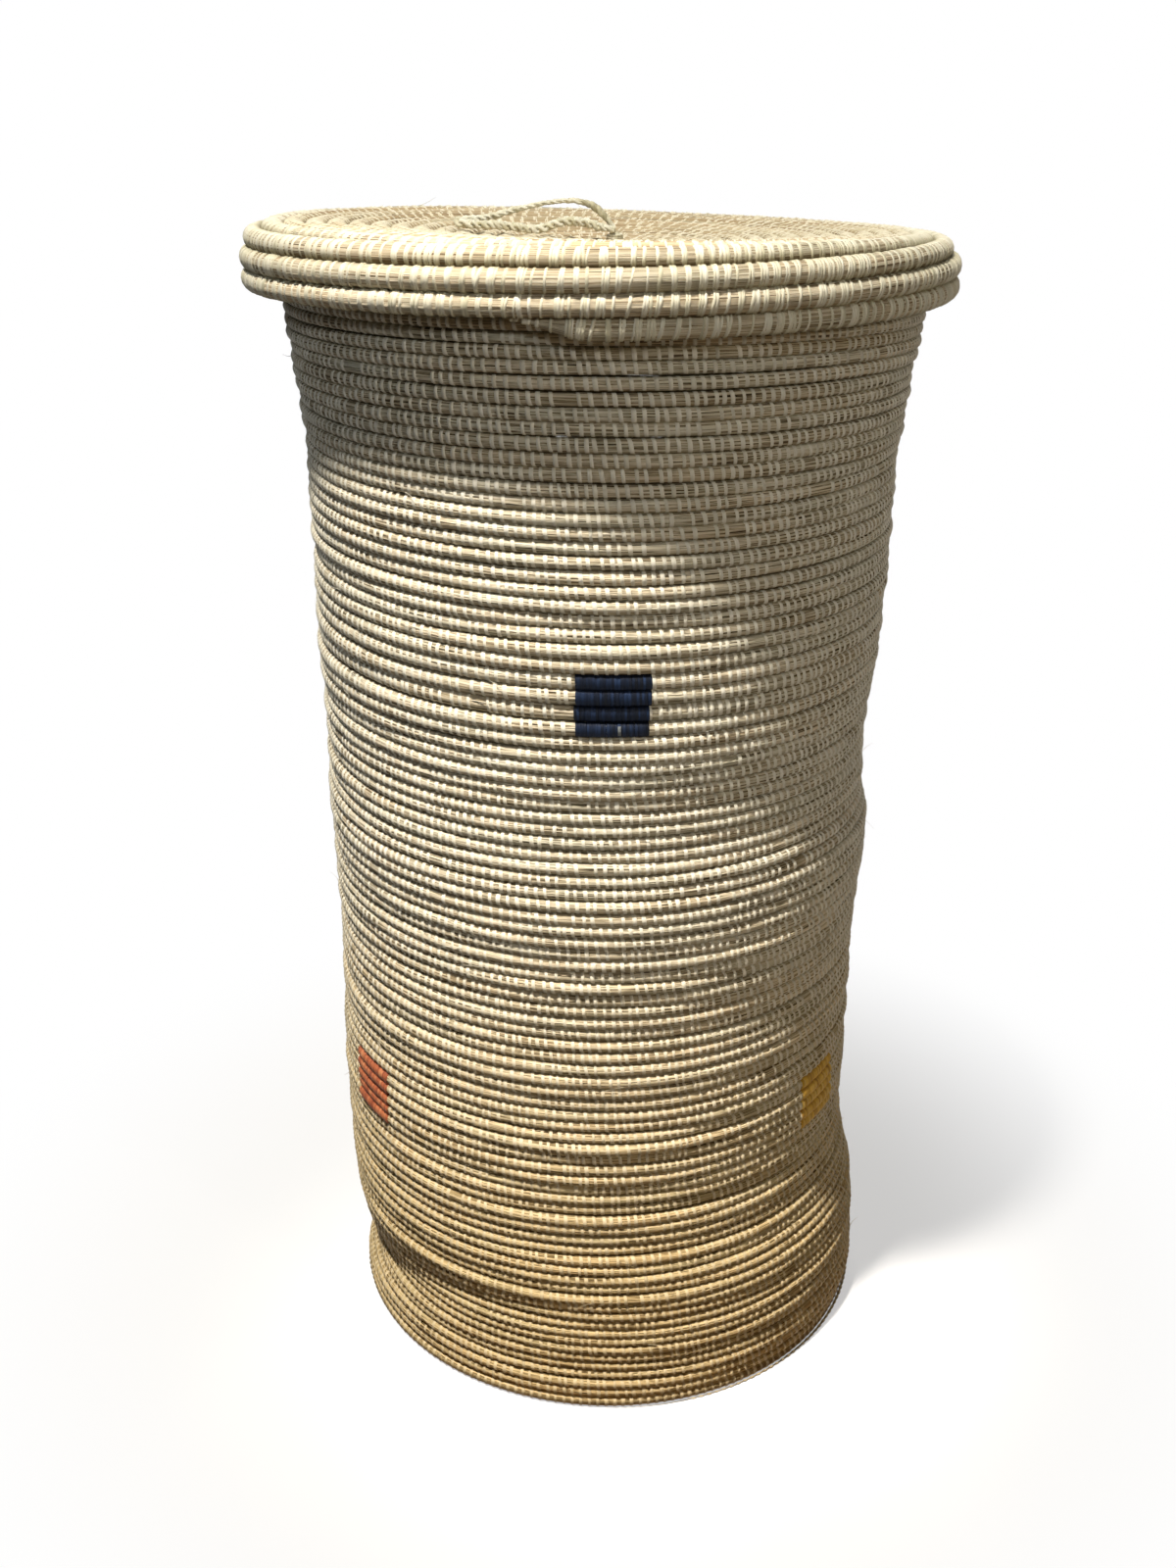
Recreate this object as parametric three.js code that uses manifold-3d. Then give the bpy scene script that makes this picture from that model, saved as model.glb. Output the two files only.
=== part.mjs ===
// Lidded laundry hamper, coiled by hand from bundles of grass.
// Millimetres, +Z up, origin on the floor under the middle of the lid.
// An azimuth is measured from the front, which is -Y, and grows towards the right, which is +X.
// Everything is first shaped level and then passed through one gentle lean, the slump of a soft basket.

import * as THREE from 'three';
import { mergeVertices } from 'three/addons/utils/BufferGeometryUtils.js';
import Module from 'manifold-3d';

const wasm = await Module();
wasm.setup();

// Basket: one coil, sewn row on row
const wallHeight = 688.2;
const wallRadius = 170;
const rowCount = 93;
const rowRelief = 1.5;
const wallThickness = 8.5;
const wallSides = 24;
const innerRowsPerRing = 4;
const partGap = 0.3;

// How far the sewing has carried a row above or below its even place: [row, millimetres]
const rowDrift = [
  [0, 0],
  [14, -9.1],
  [30, -10.6],
  [36, -7.1],
  [56, -2.9],
  [66, 5],
  [75, 9.4],
  [82, 5.8],
  [88, 2.8],
  [93, 0],
];

// How far the wall's outer face stands out from its radius: [height, millimetres]
const wallFlare = [
  [0, 1.4],
  [60, 1.8],
  [80, 2],
  [120, -1.2],
  [200, -1.8],
  [280, -2.8],
  [340, 0.4],
  [400, -2.1],
  [480, 2.3],
  [580, 3.6],
  [630, 8.8],
  [660, 12.7],
  [700, 12],
];

// How far the middle of each level lies to the right of the origin
const sideShift = [
  [0, 7.4],
  [50, 7.6],
  [80, 3.8],
  [125, -1.9],
  [280, -1],
  [335, 0],
  [390, -2.6],
  [480, 0],
  [580, 1.6],
  [680, 2],
];

// Hand-made bulges and dents: middle, spread round the wall and up it, depth outwards, climb per degree
const bulges = [
  { azimuth: 90, height: 341, wide: 34, tall: 17, out: 1, climb: 0 },
  { azimuth: 96, height: 143, wide: 40, tall: 22, out: -0.8, climb: 0 },
  { azimuth: -80, height: 36, wide: 45, tall: 15, out: -5.8, climb: 0.62 },
];

// The slump: slopes reached at the mouth, and the heights between which it grows
const sideTilt = -0.007;
const backTilt = -0.052;
const mouthTwist = -0.01;
const twistArm = 170;
const tiltFrom = 0;
const tiltFull = 100;
const slumpFrom = 560;
const slumpFull = 655;

// Dyed squares: sewn closely over the rows. The front one and the two beside it can be seen
const patchWidth = 41;
const patchThickness = 0.7;
const patches = [
  { name: 'patch_navy_front', colour: 0x1c2a3f, azimuth: 2, row: 62, rows: 4 },
  { name: 'patch_terracotta_left', colour: 0xb5623c, azimuth: -58, row: 24, rows: 5 },
  { name: 'patch_ochre_right', colour: 0xc2983a, azimuth: 57.5, row: 24, rows: 5 },
  { name: 'patch_terracotta_back_right', colour: 0xb5623c, azimuth: 122, row: 62, rows: 4 },
  { name: 'patch_ochre_back_left', colour: 0xc2983a, azimuth: -118, row: 62, rows: 4 },
  { name: 'patch_navy_back', colour: 0x1c2a3f, azimuth: 180, row: 24, rows: 5 },
];

// Lid: one thicker coil, from its tapered tail up the skirt, over the edge and in to the start of the coil
const lidPitch = 11.2;
const lidCoilGap = 0.66;
const lidCoilHeight = 11.5;
const lidClearance = 7.8;
const lidSeatGap = 3.1;
const lidEdgeRadius = 12;
const lidSkirtDrop = 34.7;
const lidDish = 9;
const lidHole = 3.7;
const lidTailAzimuth = -10;
const lidStepsPerTurn = 24;
const tailTaper = [0.3, 0.95];
const lidJointGap = 0.4;
// It sits a little askew, the coil's start is off the middle, and the coil rides up at one side
const lidTilt = 0.014;
const lidStartAside = 8;
const lidRise = 10;
const lidRiseAzimuth = 95;
const lidRiseSpread = 60;

// Handle: a braided grass cord, doubled into a loop that lies over to the left
const cordDiameter = 5;
const cordSides = 8;
const cordSteps = 44;
const handlePivotRise = 5.2;
// Middle of the cord, from the hinge over the coil's start: right, back and up
const handleRoute = [
  [0, 3, 0],
  [-3.4, 3.2, 4.1],
  [-7, 3.6, 8.1],
  [-11, 4, 11.4],
  [-17, 4.2, 13.8],
  [-25, 4.4, 14.6],
  [-36, 4.6, 13.6],
  [-47, 4.8, 11.4],
  [-57, 4.8, 8.9],
  [-66, 4.8, 6.2],
  [-76, 4.6, 4.2],
  [-84, 3.4, 3.4],
  [-88.5, 0.4, 2.4],
  [-86, -3.6, 1.7],
  [-76, -5.6, 1.2],
  [-65, -6, 1.2],
  [-56, -5.6, 0.2],
  [-46, -5.4, -0.6],
  [-40, -5.2, 0.2],
  [-34, -5, 2.2],
  [-27, -4.8, 4],
  [-20, -4.4, 3.7],
  [-14, -3.8, 2.7],
  [-7, -3.2, 1],
  [0, -3, 0],
];
const tieShaftRadius = 3.3;
const tieCollarRadius = 5.6;
const tieKnotRadius = 8;
const tieKnotHeight = 11;
const tieSides = 16;

// Materials
const straw = 0xcdb98c;
const lidStraw = 0xd9c79b;
const cordStraw = 0xb9b38e;
const strawRoughness = 0.82;

// Sizes that follow
const rowPitch = wallHeight / rowCount;
const baseHeight = rowLevel(1);
const wallBottom = baseHeight + partGap;
const wallTop = rowLevel(rowCount);
const mouthRadius = radiusAt(wallTop);
const skirtRadius = mouthRadius + lidClearance + lidCoilHeight / 2;
const lidTopMiddle = wallTop + lidSeatGap + lidCoilHeight / 2;
const skirtStraight = lidSkirtDrop - lidEdgeRadius;
const edgeArc = (Math.PI / 2) * lidEdgeRadius;
const flatRadius = skirtRadius - lidEdgeRadius;
const coilEndRadius = lidHole + (lidPitch - lidCoilGap) / 2;
const skirtLength = skirtStraight + edgeArc;
const coilLength = skirtLength + flatRadius - coilEndRadius;
const lidMiddleTop = lidTopMiddle - lidDish + lidCoilHeight / 2;
const pivotHeight = lidMiddleTop + handlePivotRise;

function smoothStep(from, to, value) {
  const t = Math.min(1, Math.max(0, (value - from) / (to - from)));
  return t * t * (3 - 2 * t);
}

// A smooth curve through [place, value] points: cubic pieces whose slopes are the mean of their neighbours'
function valueAt(points, place) {
  const last = points.length - 1;
  if (place <= points[0][0]) return points[0][1];
  if (place >= points[last][0]) return points[last][1];
  const i = points.findIndex((p) => p[0] > place) - 1;
  const slope = (k) => {
    if (k <= 0 || k >= last) return 0;
    return (points[k + 1][1] - points[k - 1][1]) / (points[k + 1][0] - points[k - 1][0]);
  };
  const span = points[i + 1][0] - points[i][0];
  const t = (place - points[i][0]) / span;
  const start = points[i][1];
  const rise = points[i + 1][1] - start;
  const bend = t * (1 - t);
  const straight = start + rise * smoothStep(0, 1, t);
  return straight + bend * span * (slope(i) * (1 - t) - slope(i + 1) * t);
}

// Height of a row's lower edge where the coil passes the front
function rowLevel(row) {
  return rowPitch * row + valueAt(rowDrift, row);
}

function radiusAt(height) {
  return wallRadius + valueAt(wallFlare, height);
}

// How far a bulge moves the wall at an azimuth, in degrees, and a height
function bulgeAt(bulge, azimuth, height) {
  const turned = ((azimuth - bulge.azimuth + 540) % 360) - 180;
  const middle = bulge.height + bulge.climb * turned;
  const aside = turned / bulge.wide;
  const above = (height - middle) / bulge.tall;
  return bulge.out * Math.exp(-aside * aside - above * above);
}

// A point of the wall's outer face, sunk by a depth, at an azimuth in radians
function wallPoint(azimuth, height, depth) {
  const degrees = THREE.MathUtils.radToDeg(azimuth);
  const swell = bulges.reduce((sum, bulge) => sum + bulgeAt(bulge, degrees, height), 0);
  const facetAllowance = 2 / (1 + Math.cos(Math.PI / wallSides));
  const radius = (radiusAt(height) + swell) * facetAllowance - depth;
  const x = radius * Math.sin(azimuth) + valueAt(sideShift, height);
  return [x, -radius * Math.cos(azimuth), height];
}

function lean([x, y, z]) {
  const tilt = smoothStep(tiltFrom, tiltFull, z) * sideTilt * x;
  const slump = smoothStep(slumpFrom, slumpFull, z) * (backTilt * y + (mouthTwist * x * y) / twistArm);
  return [x, y, z + tilt + slump];
}

// A closed mesh as a solid, its faces turned outwards
function solid(points, triangles) {
  const geometry = new THREE.BufferGeometry();
  geometry.setAttribute('position', new THREE.Float32BufferAttribute(points.flat(), 3));
  geometry.setIndex(triangles.flat());
  const merged = mergeVertices(geometry, 1e-4);
  const make = (index) =>
    new wasm.Manifold(
      new wasm.Mesh({
        numProp: 3,
        vertProperties: new Float32Array(merged.attributes.position.array),
        triVerts: new Uint32Array(index),
      }),
    );
  const index = Array.from(merged.index.array);
  const made = make(index);
  return made.volume() > 0 ? made : make(index.reverse());
}

// The geometry of a solid, leaning with the basket, and askew as well if it belongs to the lid
function geometryOf(manifold, tilt) {
  const { vertProperties, triVerts, numProp } = manifold.getMesh();
  const geometry = new THREE.BufferGeometry();
  const position = new Float32Array((vertProperties.length / numProp) * 3);
  for (let i = 0; i < position.length / 3; i += 1) {
    const point = Array.from(vertProperties.subarray(i * numProp, i * numProp + 3));
    const [x, y, z] = lean(point);
    position.set([x, y, z - tilt * x], i * 3);
  }
  geometry.setAttribute('position', new THREE.BufferAttribute(position, 3));
  geometry.setIndex(Array.from(triVerts));
  geometry.computeVertexNormals();
  return geometry;
}

// A tube through closed rings of points, with a flat fan over each end
function tubeOf(rings) {
  const sides = rings[0].length;
  const points = rings.flat();
  const triangles = [];
  for (let i = 0; i + 1 < rings.length; i += 1) {
    for (let j = 0; j < sides; j += 1) {
      const a = i * sides + j;
      const b = i * sides + ((j + 1) % sides);
      triangles.push([a, b, b + sides], [a, b + sides, a + sides]);
    }
  }
  for (const [ring, first] of [[0, true], [rings.length - 1, false]]) {
    const start = ring * sides;
    for (let j = 1; j + 1 < sides; j += 1) {
      const fan = [start, start + j, start + j + 1];
      triangles.push(first ? fan.reverse() : fan);
    }
  }
  return solid(points, triangles);
}

function ringAt(height, depth) {
  return Array.from({ length: wallSides }, (_, i) => wallPoint((i / wallSides) * 2 * Math.PI, height, depth));
}

function slab(low, high) {
  const wide = 3 * mouthRadius;
  const box = new THREE.BoxGeometry(wide, wide, high - low).translate(0, 0, (low + high) / 2);
  box.deleteAttribute('normal');
  box.deleteAttribute('uv');
  const merged = mergeVertices(box);
  const points = [];
  for (let i = 0; i < merged.attributes.position.count; i += 1) {
    points.push(new THREE.Vector3().fromBufferAttribute(merged.attributes.position, i).toArray());
  }
  return solid(points, [Array.from(merged.index.array)]);
}

// Place on the sewn wall: a column counted leftwards round it, and a half row, odd on a row's crest.
// The coil climbs one row in a turn
function coilPoint(column, halfRow, proud = 0) {
  const azimuth = (-2 * Math.PI * column) / wallSides;
  const height = rowLevel(halfRow / 2 + column / wallSides);
  const depth = (halfRow % 2 === 0 ? rowRelief : 0) - proud;
  return wallPoint(azimuth, height, depth);
}

// The wall: the grooved outer face is one unbroken thread, so its last column joins its first two half rows up
function wallCoil() {
  const firstHalfRow = -4;
  const halfRows = 2 * rowCount + 8;
  const points = [];
  for (let column = 0; column < wallSides; column += 1) {
    for (let k = 0; k < halfRows; k += 1) points.push(coilPoint(column, firstHalfRow + k));
  }
  const at = (column, k) => column * halfRows + k;
  const triangles = [];
  for (let column = 0; column < wallSides; column += 1) {
    const seam = column === wallSides - 1;
    const next = seam ? 0 : column + 1;
    const climb = seam ? 2 : 0;
    for (let k = 0; k + climb + 1 < halfRows; k += 1) {
      const a = at(column, k);
      const b = at(next, k + climb);
      triangles.push([a, b, b + 1], [a, b + 1, a + 1]);
    }
  }
  const bottom = points.push([0, 0, firstHalfRow * rowPitch]) - 1;
  const top = points.push([0, 0, rowPitch * (rowCount + 4)]) - 1;
  const columns = Array.from({ length: wallSides }, (_, i) => i);
  const lowLoop = [...columns.map((c) => at(c, 0)), at(0, 2), at(0, 1)];
  const lastColumn = wallSides - 1;
  const highLoop = [...columns.map((c) => at(c, halfRows - 1))];
  highLoop.push(at(lastColumn, halfRows - 2), at(lastColumn, halfRows - 3));
  lowLoop.forEach((v, i) => triangles.push([v, bottom, lowLoop[(i + 1) % lowLoop.length]]));
  highLoop.forEach((v, i) => triangles.push([v, highLoop[(i + 1) % highLoop.length], top]));
  const outside = solid(points, triangles).intersect(slab(wallBottom, wallTop));
  const rings = [];
  for (let row = 0; row <= rowCount + innerRowsPerRing; row += innerRowsPerRing) {
    rings.push(ringAt(row * rowPitch, wallThickness));
  }
  return outside.subtract(tubeOf(rings));
}

// The base: a flat disc, one coil thick, with a rounded edge
function baseCoil() {
  const edge = [
    [0, rowRelief],
    [baseHeight / 2, 0],
    [baseHeight, rowRelief],
  ];
  return tubeOf(edge.map(([height, depth]) => ringAt(height, depth)));
}

// A dyed square: a thin skin that follows the rows and the wall's facets
function patchSkin({ azimuth, row, rows }) {
  const middle = (-azimuth / 360) * wallSides;
  const radius = radiusAt(rowLevel(row));
  const half = ((patchWidth / radius / 2) * wallSides) / (2 * Math.PI);
  const from = middle - half;
  const to = middle + half;
  const columns = [from];
  for (let c = Math.floor(from) + 1; c < to; c += 1) columns.push(c);
  columns.push(to);
  // Straight along the wall's facet between two of its columns
  const along = (column, halfRow, proud) => {
    const low = Math.floor(column);
    const a = new THREE.Vector3(...coilPoint(low, halfRow, proud));
    const b = new THREE.Vector3(...coilPoint(low + 1, halfRow, proud));
    return a.lerp(b, column - low).toArray();
  };
  const rings = columns.map((column) => {
    const inner = [];
    const outer = [];
    for (let k = 2 * row; k <= 2 * (row + rows); k += 1) {
      inner.push(along(column, k, partGap));
      outer.push(along(column, k, partGap + patchThickness));
    }
    return [...inner, ...outer.reverse()];
  });
  return stripOf(rings);
}

// A bent bar through outlines that fold back on themselves: each outline is a strip, out along one face and back
function stripOf(rings) {
  const sides = rings[0].length;
  const half = sides / 2;
  const points = rings.flat();
  const triangles = [];
  for (let i = 0; i + 1 < rings.length; i += 1) {
    for (let j = 0; j < sides; j += 1) {
      const a = i * sides + j;
      const b = i * sides + ((j + 1) % sides);
      triangles.push([a, b, b + sides], [a, b + sides, a + sides]);
    }
  }
  for (const [ring, first] of [[0, true], [rings.length - 1, false]]) {
    const start = ring * sides;
    for (let j = 0; j + 1 < half; j += 1) {
      const a = start + j;
      const d = start + sides - 1 - j;
      const faces = [
        [a, a + 1, d - 1],
        [a, d - 1, d],
      ];
      for (const face of faces) triangles.push(first ? face.reverse() : face);
    }
  }
  return solid(points, triangles);
}

// The lid's section: up the skirt, round the edge and in along the dished top. Returns radius, height and outward
function lidProfile(length) {
  if (length < skirtStraight) {
    return [skirtRadius, lidTopMiddle - lidSkirtDrop + length, 1, 0];
  }
  if (length < skirtLength) {
    const angle = (length - skirtStraight) / lidEdgeRadius;
    const out = Math.cos(angle);
    const up = Math.sin(angle);
    const middle = lidTopMiddle - lidEdgeRadius;
    return [flatRadius + lidEdgeRadius * out, middle + lidEdgeRadius * up, out, up];
  }
  const radius = flatRadius - (length - skirtLength);
  const share = 1 - (radius / flatRadius) ** 2;
  return [radius, lidTopMiddle - lidDish * share * share, 0, 1];
}

// Where a line along the coil really lies on the section: it rides up at one side, less and less towards the start
function riddenPlace(place, azimuth) {
  const turned = ((THREE.MathUtils.radToDeg(azimuth) - lidRiseAzimuth + 540 + 360 * 40) % 360) - 180;
  const share = Math.min(1, Math.max(0, 1 - (place - skirtLength) / (flatRadius - coilEndRadius)));
  return place + lidRise * share * Math.exp(-((turned / lidRiseSpread) ** 2));
}

// One point of the coil's six-sided section, at a number of turns from the tail
function lidCoilPoint(turn, along, outwards, scale) {
  const azimuth = THREE.MathUtils.degToRad(lidTailAzimuth) + 2 * Math.PI * turn;
  const low = riddenPlace(lidPitch * (turn - 0.5), azimuth);
  const high = riddenPlace(lidPitch * (turn + 0.5), azimuth);
  const half = (high - low - lidCoilGap) / 2;
  const place = (low + high) / 2 + half * (along * scale + 1 - scale);
  const [radius, height, out, up] = lidProfile(place);
  const proud = (outwards * scale * lidCoilHeight) / 2;
  const reach = radius + out * proud;
  return [reach * Math.sin(azimuth) + asideAt(reach), -reach * Math.cos(azimuth), height + up * proud];
}

// The coil's rings grow less centred towards its start
function asideAt(radius) {
  return lidStartAside * Math.max(0, 1 - radius / flatRadius);
}

const coilSection = [
  [0, 1],
  [1, 0.5],
  [1, -0.5],
  [0, -1],
  [-1, -0.5],
  [-1, 0.5],
];

function lidCoilRings(fromStep, toStep, gapTurns) {
  const rings = [];
  for (let step = fromStep; step <= toStep; step += 1) {
    const turn = step / lidStepsPerTurn + (step === fromStep ? gapTurns : 0);
    const scale = tailTaper[step] ?? 1;
    rings.push(coilSection.map(([along, out]) => lidCoilPoint(turn, along, out, scale)));
  }
  return rings;
}

const splitStep = Math.ceil((skirtLength / lidPitch) * lidStepsPerTurn);
const endStep = Math.floor((coilLength / lidPitch) * lidStepsPerTurn);
const jointTurns = lidJointGap / (2 * Math.PI * flatRadius);
const skirtRings = lidCoilRings(0, splitStep, 0);
const topRings = lidCoilRings(splitStep, endStep, jointTurns);

// The least distance between neighbouring turns of the lid's coil, measured corner to edge in each section plane
function leastCoilGap() {
  const rings = [...skirtRings, ...topRings.slice(1)];
  const flat = ([x, y, z]) => {
    // Undo the shift aside, which closes no gap by more than its own slope
    let radius = Math.hypot(x, y);
    for (let i = 0; i < 8; i += 1) radius = Math.hypot(x - asideAt(radius), y);
    return new THREE.Vector2(radius, z);
  };
  let least = Infinity;
  for (let i = 0; i + lidStepsPerTurn < rings.length; i += 1) {
    const near = rings[i].map(flat);
    const far = rings[i + lidStepsPerTurn].map(flat);
    for (const [corners, edges] of [[near, far], [far, near]]) {
      for (const p of corners) {
        edges.forEach((a, j) => {
          const b = edges[(j + 1) % edges.length];
          const side = b.clone().sub(a);
          const share = THREE.MathUtils.clamp(p.clone().sub(a).dot(side) / side.lengthSq(), 0, 1);
          least = Math.min(least, p.distanceTo(a.clone().addScaledVector(side, share)));
        });
      }
    }
  }
  return least * (1 - lidStartAside / flatRadius);
}

// The handle's cord: round sections square to a smooth curve
function handleLoop() {
  const route = handleRoute.map(([x, y, z]) => new THREE.Vector3(lidStartAside + x, y, pivotHeight + z));
  const curve = new THREE.CatmullRomCurve3(route, false, 'centripetal');
  // One side vector is carried along the curve, so that the sections never twist
  let carried = new THREE.Vector3(0, 1, 0);
  const rings = Array.from({ length: cordSteps + 1 }, (_, i) => {
    const middle = curve.getPointAt(i / cordSteps);
    const ahead = curve.getTangentAt(i / cordSteps);
    carried = carried.clone().addScaledVector(ahead, -ahead.dot(carried)).normalize();
    const other = new THREE.Vector3().crossVectors(ahead, carried);
    return Array.from({ length: cordSides }, (_, j) => {
      const angle = (j / cordSides) * 2 * Math.PI;
      const point = middle.clone();
      point.addScaledVector(carried, (Math.cos(angle) * cordDiameter) / 2);
      point.addScaledVector(other, (Math.sin(angle) * cordDiameter) / 2);
      return point.toArray();
    });
  });
  return tubeOf(rings);
}

// The doubled cord where it goes down through the lid's middle, with a collar above and its knot below
function handleTie() {
  const under = lidTopMiddle - lidDish - lidCoilHeight / 2 - partGap;
  const collarBottom = lidMiddleTop + partGap;
  const collarTop = pivotHeight - cordDiameter / 2 - partGap;
  const outline = [
    [0, under - tieKnotHeight],
    [tieKnotRadius * 0.6, under - tieKnotHeight],
    [tieKnotRadius, under - tieKnotHeight * 0.65],
    [tieKnotRadius, under - tieKnotHeight * 0.3],
    [tieKnotRadius * 0.7, under],
    [tieShaftRadius, under],
    [tieShaftRadius, collarBottom],
    [tieCollarRadius * 0.9, collarBottom],
    [tieCollarRadius, (collarBottom + collarTop) / 2],
    [tieCollarRadius * 0.8, collarTop],
    [0, collarTop],
  ];
  const lathe = new THREE.LatheGeometry(outline.map(([r, z]) => new THREE.Vector2(r, z)), tieSides);
  lathe.rotateX(Math.PI / 2);
  lathe.translate(lidStartAside, 0, 0);
  lathe.deleteAttribute('normal');
  lathe.deleteAttribute('uv');
  const merged = mergeVertices(lathe, 1e-4);
  const points = [];
  for (let i = 0; i < merged.attributes.position.count; i += 1) {
    points.push(new THREE.Vector3().fromBufferAttribute(merged.attributes.position, i).toArray());
  }
  const index = Array.from(merged.index.array);
  const triangles = [];
  for (let i = 0; i < index.length; i += 3) {
    const face = index.slice(i, i + 3);
    if (new Set(face).size === 3) triangles.push(face);
  }
  return solid(points, triangles);
}

function finish(colour) {
  return new THREE.MeshStandardMaterial({ color: colour, roughness: strawRoughness, metalness: 0 });
}

const hamper = new THREE.Group();

function add(name, manifold, colour, tilt = 0) {
  const mesh = new THREE.Mesh(geometryOf(manifold, tilt), finish(colour));
  mesh.name = name;
  hamper.add(mesh);
}

add('base_coil', baseCoil(), straw);
add('wall_coil', wallCoil(), straw);
for (const patch of patches) add(patch.name, patchSkin(patch), patch.colour);
add('lid_skirt_coil', tubeOf(skirtRings), lidStraw, lidTilt);
add('lid_top_coil', tubeOf(topRings), lidStraw, lidTilt);
add('handle_tie', handleTie(), cordStraw, lidTilt);
add('handle_loop', handleLoop(), cordStraw, lidTilt);

console.log('least gap between turns of the lid coil:', leastCoilGap().toFixed(2), 'mm');
const [hingeX, hingeY, hingeZ] = lean([lidStartAside, 0, pivotHeight]);
const hinge = [hingeX, hingeY, hingeZ - lidTilt * hingeX];
console.log('handle hinge at', hinge.map((v) => v.toFixed(2)).join(', '), 'mm');

export default hamper;
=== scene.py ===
"""A lidded hamper coiled by hand from grass: each row of the coil, each sewn strip, the braided handle."""

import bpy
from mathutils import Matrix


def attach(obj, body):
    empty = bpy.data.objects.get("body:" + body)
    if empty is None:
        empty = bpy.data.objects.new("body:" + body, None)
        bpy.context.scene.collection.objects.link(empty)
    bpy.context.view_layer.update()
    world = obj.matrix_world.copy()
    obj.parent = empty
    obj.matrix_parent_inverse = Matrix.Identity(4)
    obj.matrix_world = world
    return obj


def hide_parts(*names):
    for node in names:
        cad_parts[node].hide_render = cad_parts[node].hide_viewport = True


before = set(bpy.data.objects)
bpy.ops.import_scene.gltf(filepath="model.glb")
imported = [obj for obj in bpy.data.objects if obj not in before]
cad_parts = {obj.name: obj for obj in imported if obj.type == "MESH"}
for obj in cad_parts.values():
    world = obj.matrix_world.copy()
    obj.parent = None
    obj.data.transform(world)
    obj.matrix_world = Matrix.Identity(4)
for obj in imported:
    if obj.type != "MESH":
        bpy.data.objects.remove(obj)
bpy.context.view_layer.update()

import math

import bpy
import numpy as np

MM = 0.001

# Basket, in millimetres, as the solids have it
WALL_TOP = 688.2
ROWS = 93
ROW_PITCH = WALL_TOP / ROWS
WALL_THICKNESS = 8.5
WALL_GIRTH = 2 * math.pi * 170
# How far the sewing has carried a row above or below its even place: row, millimetres
ROW_DRIFT = np.array([
    (0, 0), (14, -9.1), (30, -10.6), (36, -7.1), (56, -2.9), (62, -1.6), (66, 5), (75, 9.4), (82, 5.8),
    (88, 2.8), (93, 0),
])
WALL_PROFILE = np.array([
    (0, 171.4), (60, 171.8), (80, 172), (120, 168.8), (200, 168.2), (280, 167.2), (340, 170.4),
    (400, 167.9), (480, 172.3), (580, 173.6), (630, 178.8), (660, 182.7), (700, 182),
])
SIDE_SHIFT = np.array([
    (0, 7.4), (50, 7.6), (80, 3.8), (125, -1.9), (280, -1), (335, 0), (390, -2.6), (480, 0),
    (580, 1.6), (680, 2),
])
# Middle azimuth and height, spread round and up, depth outwards, climb per degree
BULGES = [(90, 341, 34, 17, 1, 0), (96, 143, 40, 22, -0.8, 0), (-80, 36, 45, 15, -5.8, 0.62)]
SIDE_TILT, BACK_TILT, MOUTH_TWIST, TWIST_ARM = -0.007, -0.052, -0.01, 170
TILT_SPAN = (0, 100)
SLUMP_SPAN = (560, 655)

# Lid
LID_PITCH = 11.2
LID_HEIGHT = 11.5
LID_CLEARANCE = 7.8
LID_SEAT_GAP = 3.1
LID_EDGE_RADIUS = 12
LID_SKIRT_DROP = 34.7
LID_DISH = 9
LID_HOLE = 3.7
LID_EYE = 0.2
LID_TAIL_AZIMUTH = math.radians(-10)
# The tail: where it widens, how wide it starts, how deep it is tucked in, and up to where, in turns
TAIL_SPAN = (-0.012, 0.026)
TAIL_TIP = 0.12
TAIL_TUCK = 3
TAIL_TUCK_SPAN = (0.03, 0.22)
# In turns: how far the skirt's bundle runs past the edge, its sewing past that, and the coil past its start
SKIRT_OVERRUN, SEWING_OVERRUN, COIL_RUN_ON = 0.3, 0.15, 0.9
# It sits a little askew, the coil's start is off the middle, and the coil rides up at one side
LID_TILT = 0.014
LID_START_ASIDE = 8
LID_RISE, LID_RISE_AZIMUTH, LID_RISE_SPREAD = 10, 95, 60

# Base: its rim's inset, how far its rows press together, the radius of its eye and of its rim's row, and the
# least radius that stitches are spaced by
BASE_INSET, BASE_PRESS, BASE_EYE = 0.4, 1.03, 0.3
BASE_RADIUS, BASE_LEAST_RADIUS = 168, 6

# Sewing of the wall: strips in a row, the share that is missing, widths, how far they stand out, and how far
# they are from even places, as a share of a step and by slow noise
STITCHES_PER_ROW = 198
MISSING_STITCHES = 0.02
STITCH_WIDTHS, STITCH_PROUDS = (2.0, 2.9), (0.18, 0.4)
STITCH_JITTER, STITCH_DRIFT = 0.16, [(30, 0.5, 35)]
# How deep a strip's edges are buried. On the wall it leans by shares of its place round the section and of
# that place's cube, and dives between two rows by a share and a power of the sine
STRIP_BURIED = 0.25
LEAN_EVEN, LEAN_END = 0.6, 1.6
DIVE, DIVE_POWER = 1.25, 8
# Where a strip lies on its fibres: by its tone, its turn and, in millimetres, each radian of the section
SHIFT_BY_TONE, SHIFT_BY_TURN = 0.7, 0.37
STRIP_GRAIN, RING_GRAIN = 4, 6
BASE_STITCH_STEP = 5.2
# On the lid: the least radius that steps are measured at, and the step inside a bunch of strips
LID_LEAST_RADIUS = 8.0
BUNCH_STEP = (1.15, 1.6)
# Dyed squares
DYED_PITCH = 1.5
PATCH_WIDTH = 41
PATCH_INSET = 1.5
# How far the rows of a square may run past its sides, in turns of the coil
PATCH_RAGGED = 0.0016
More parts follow.
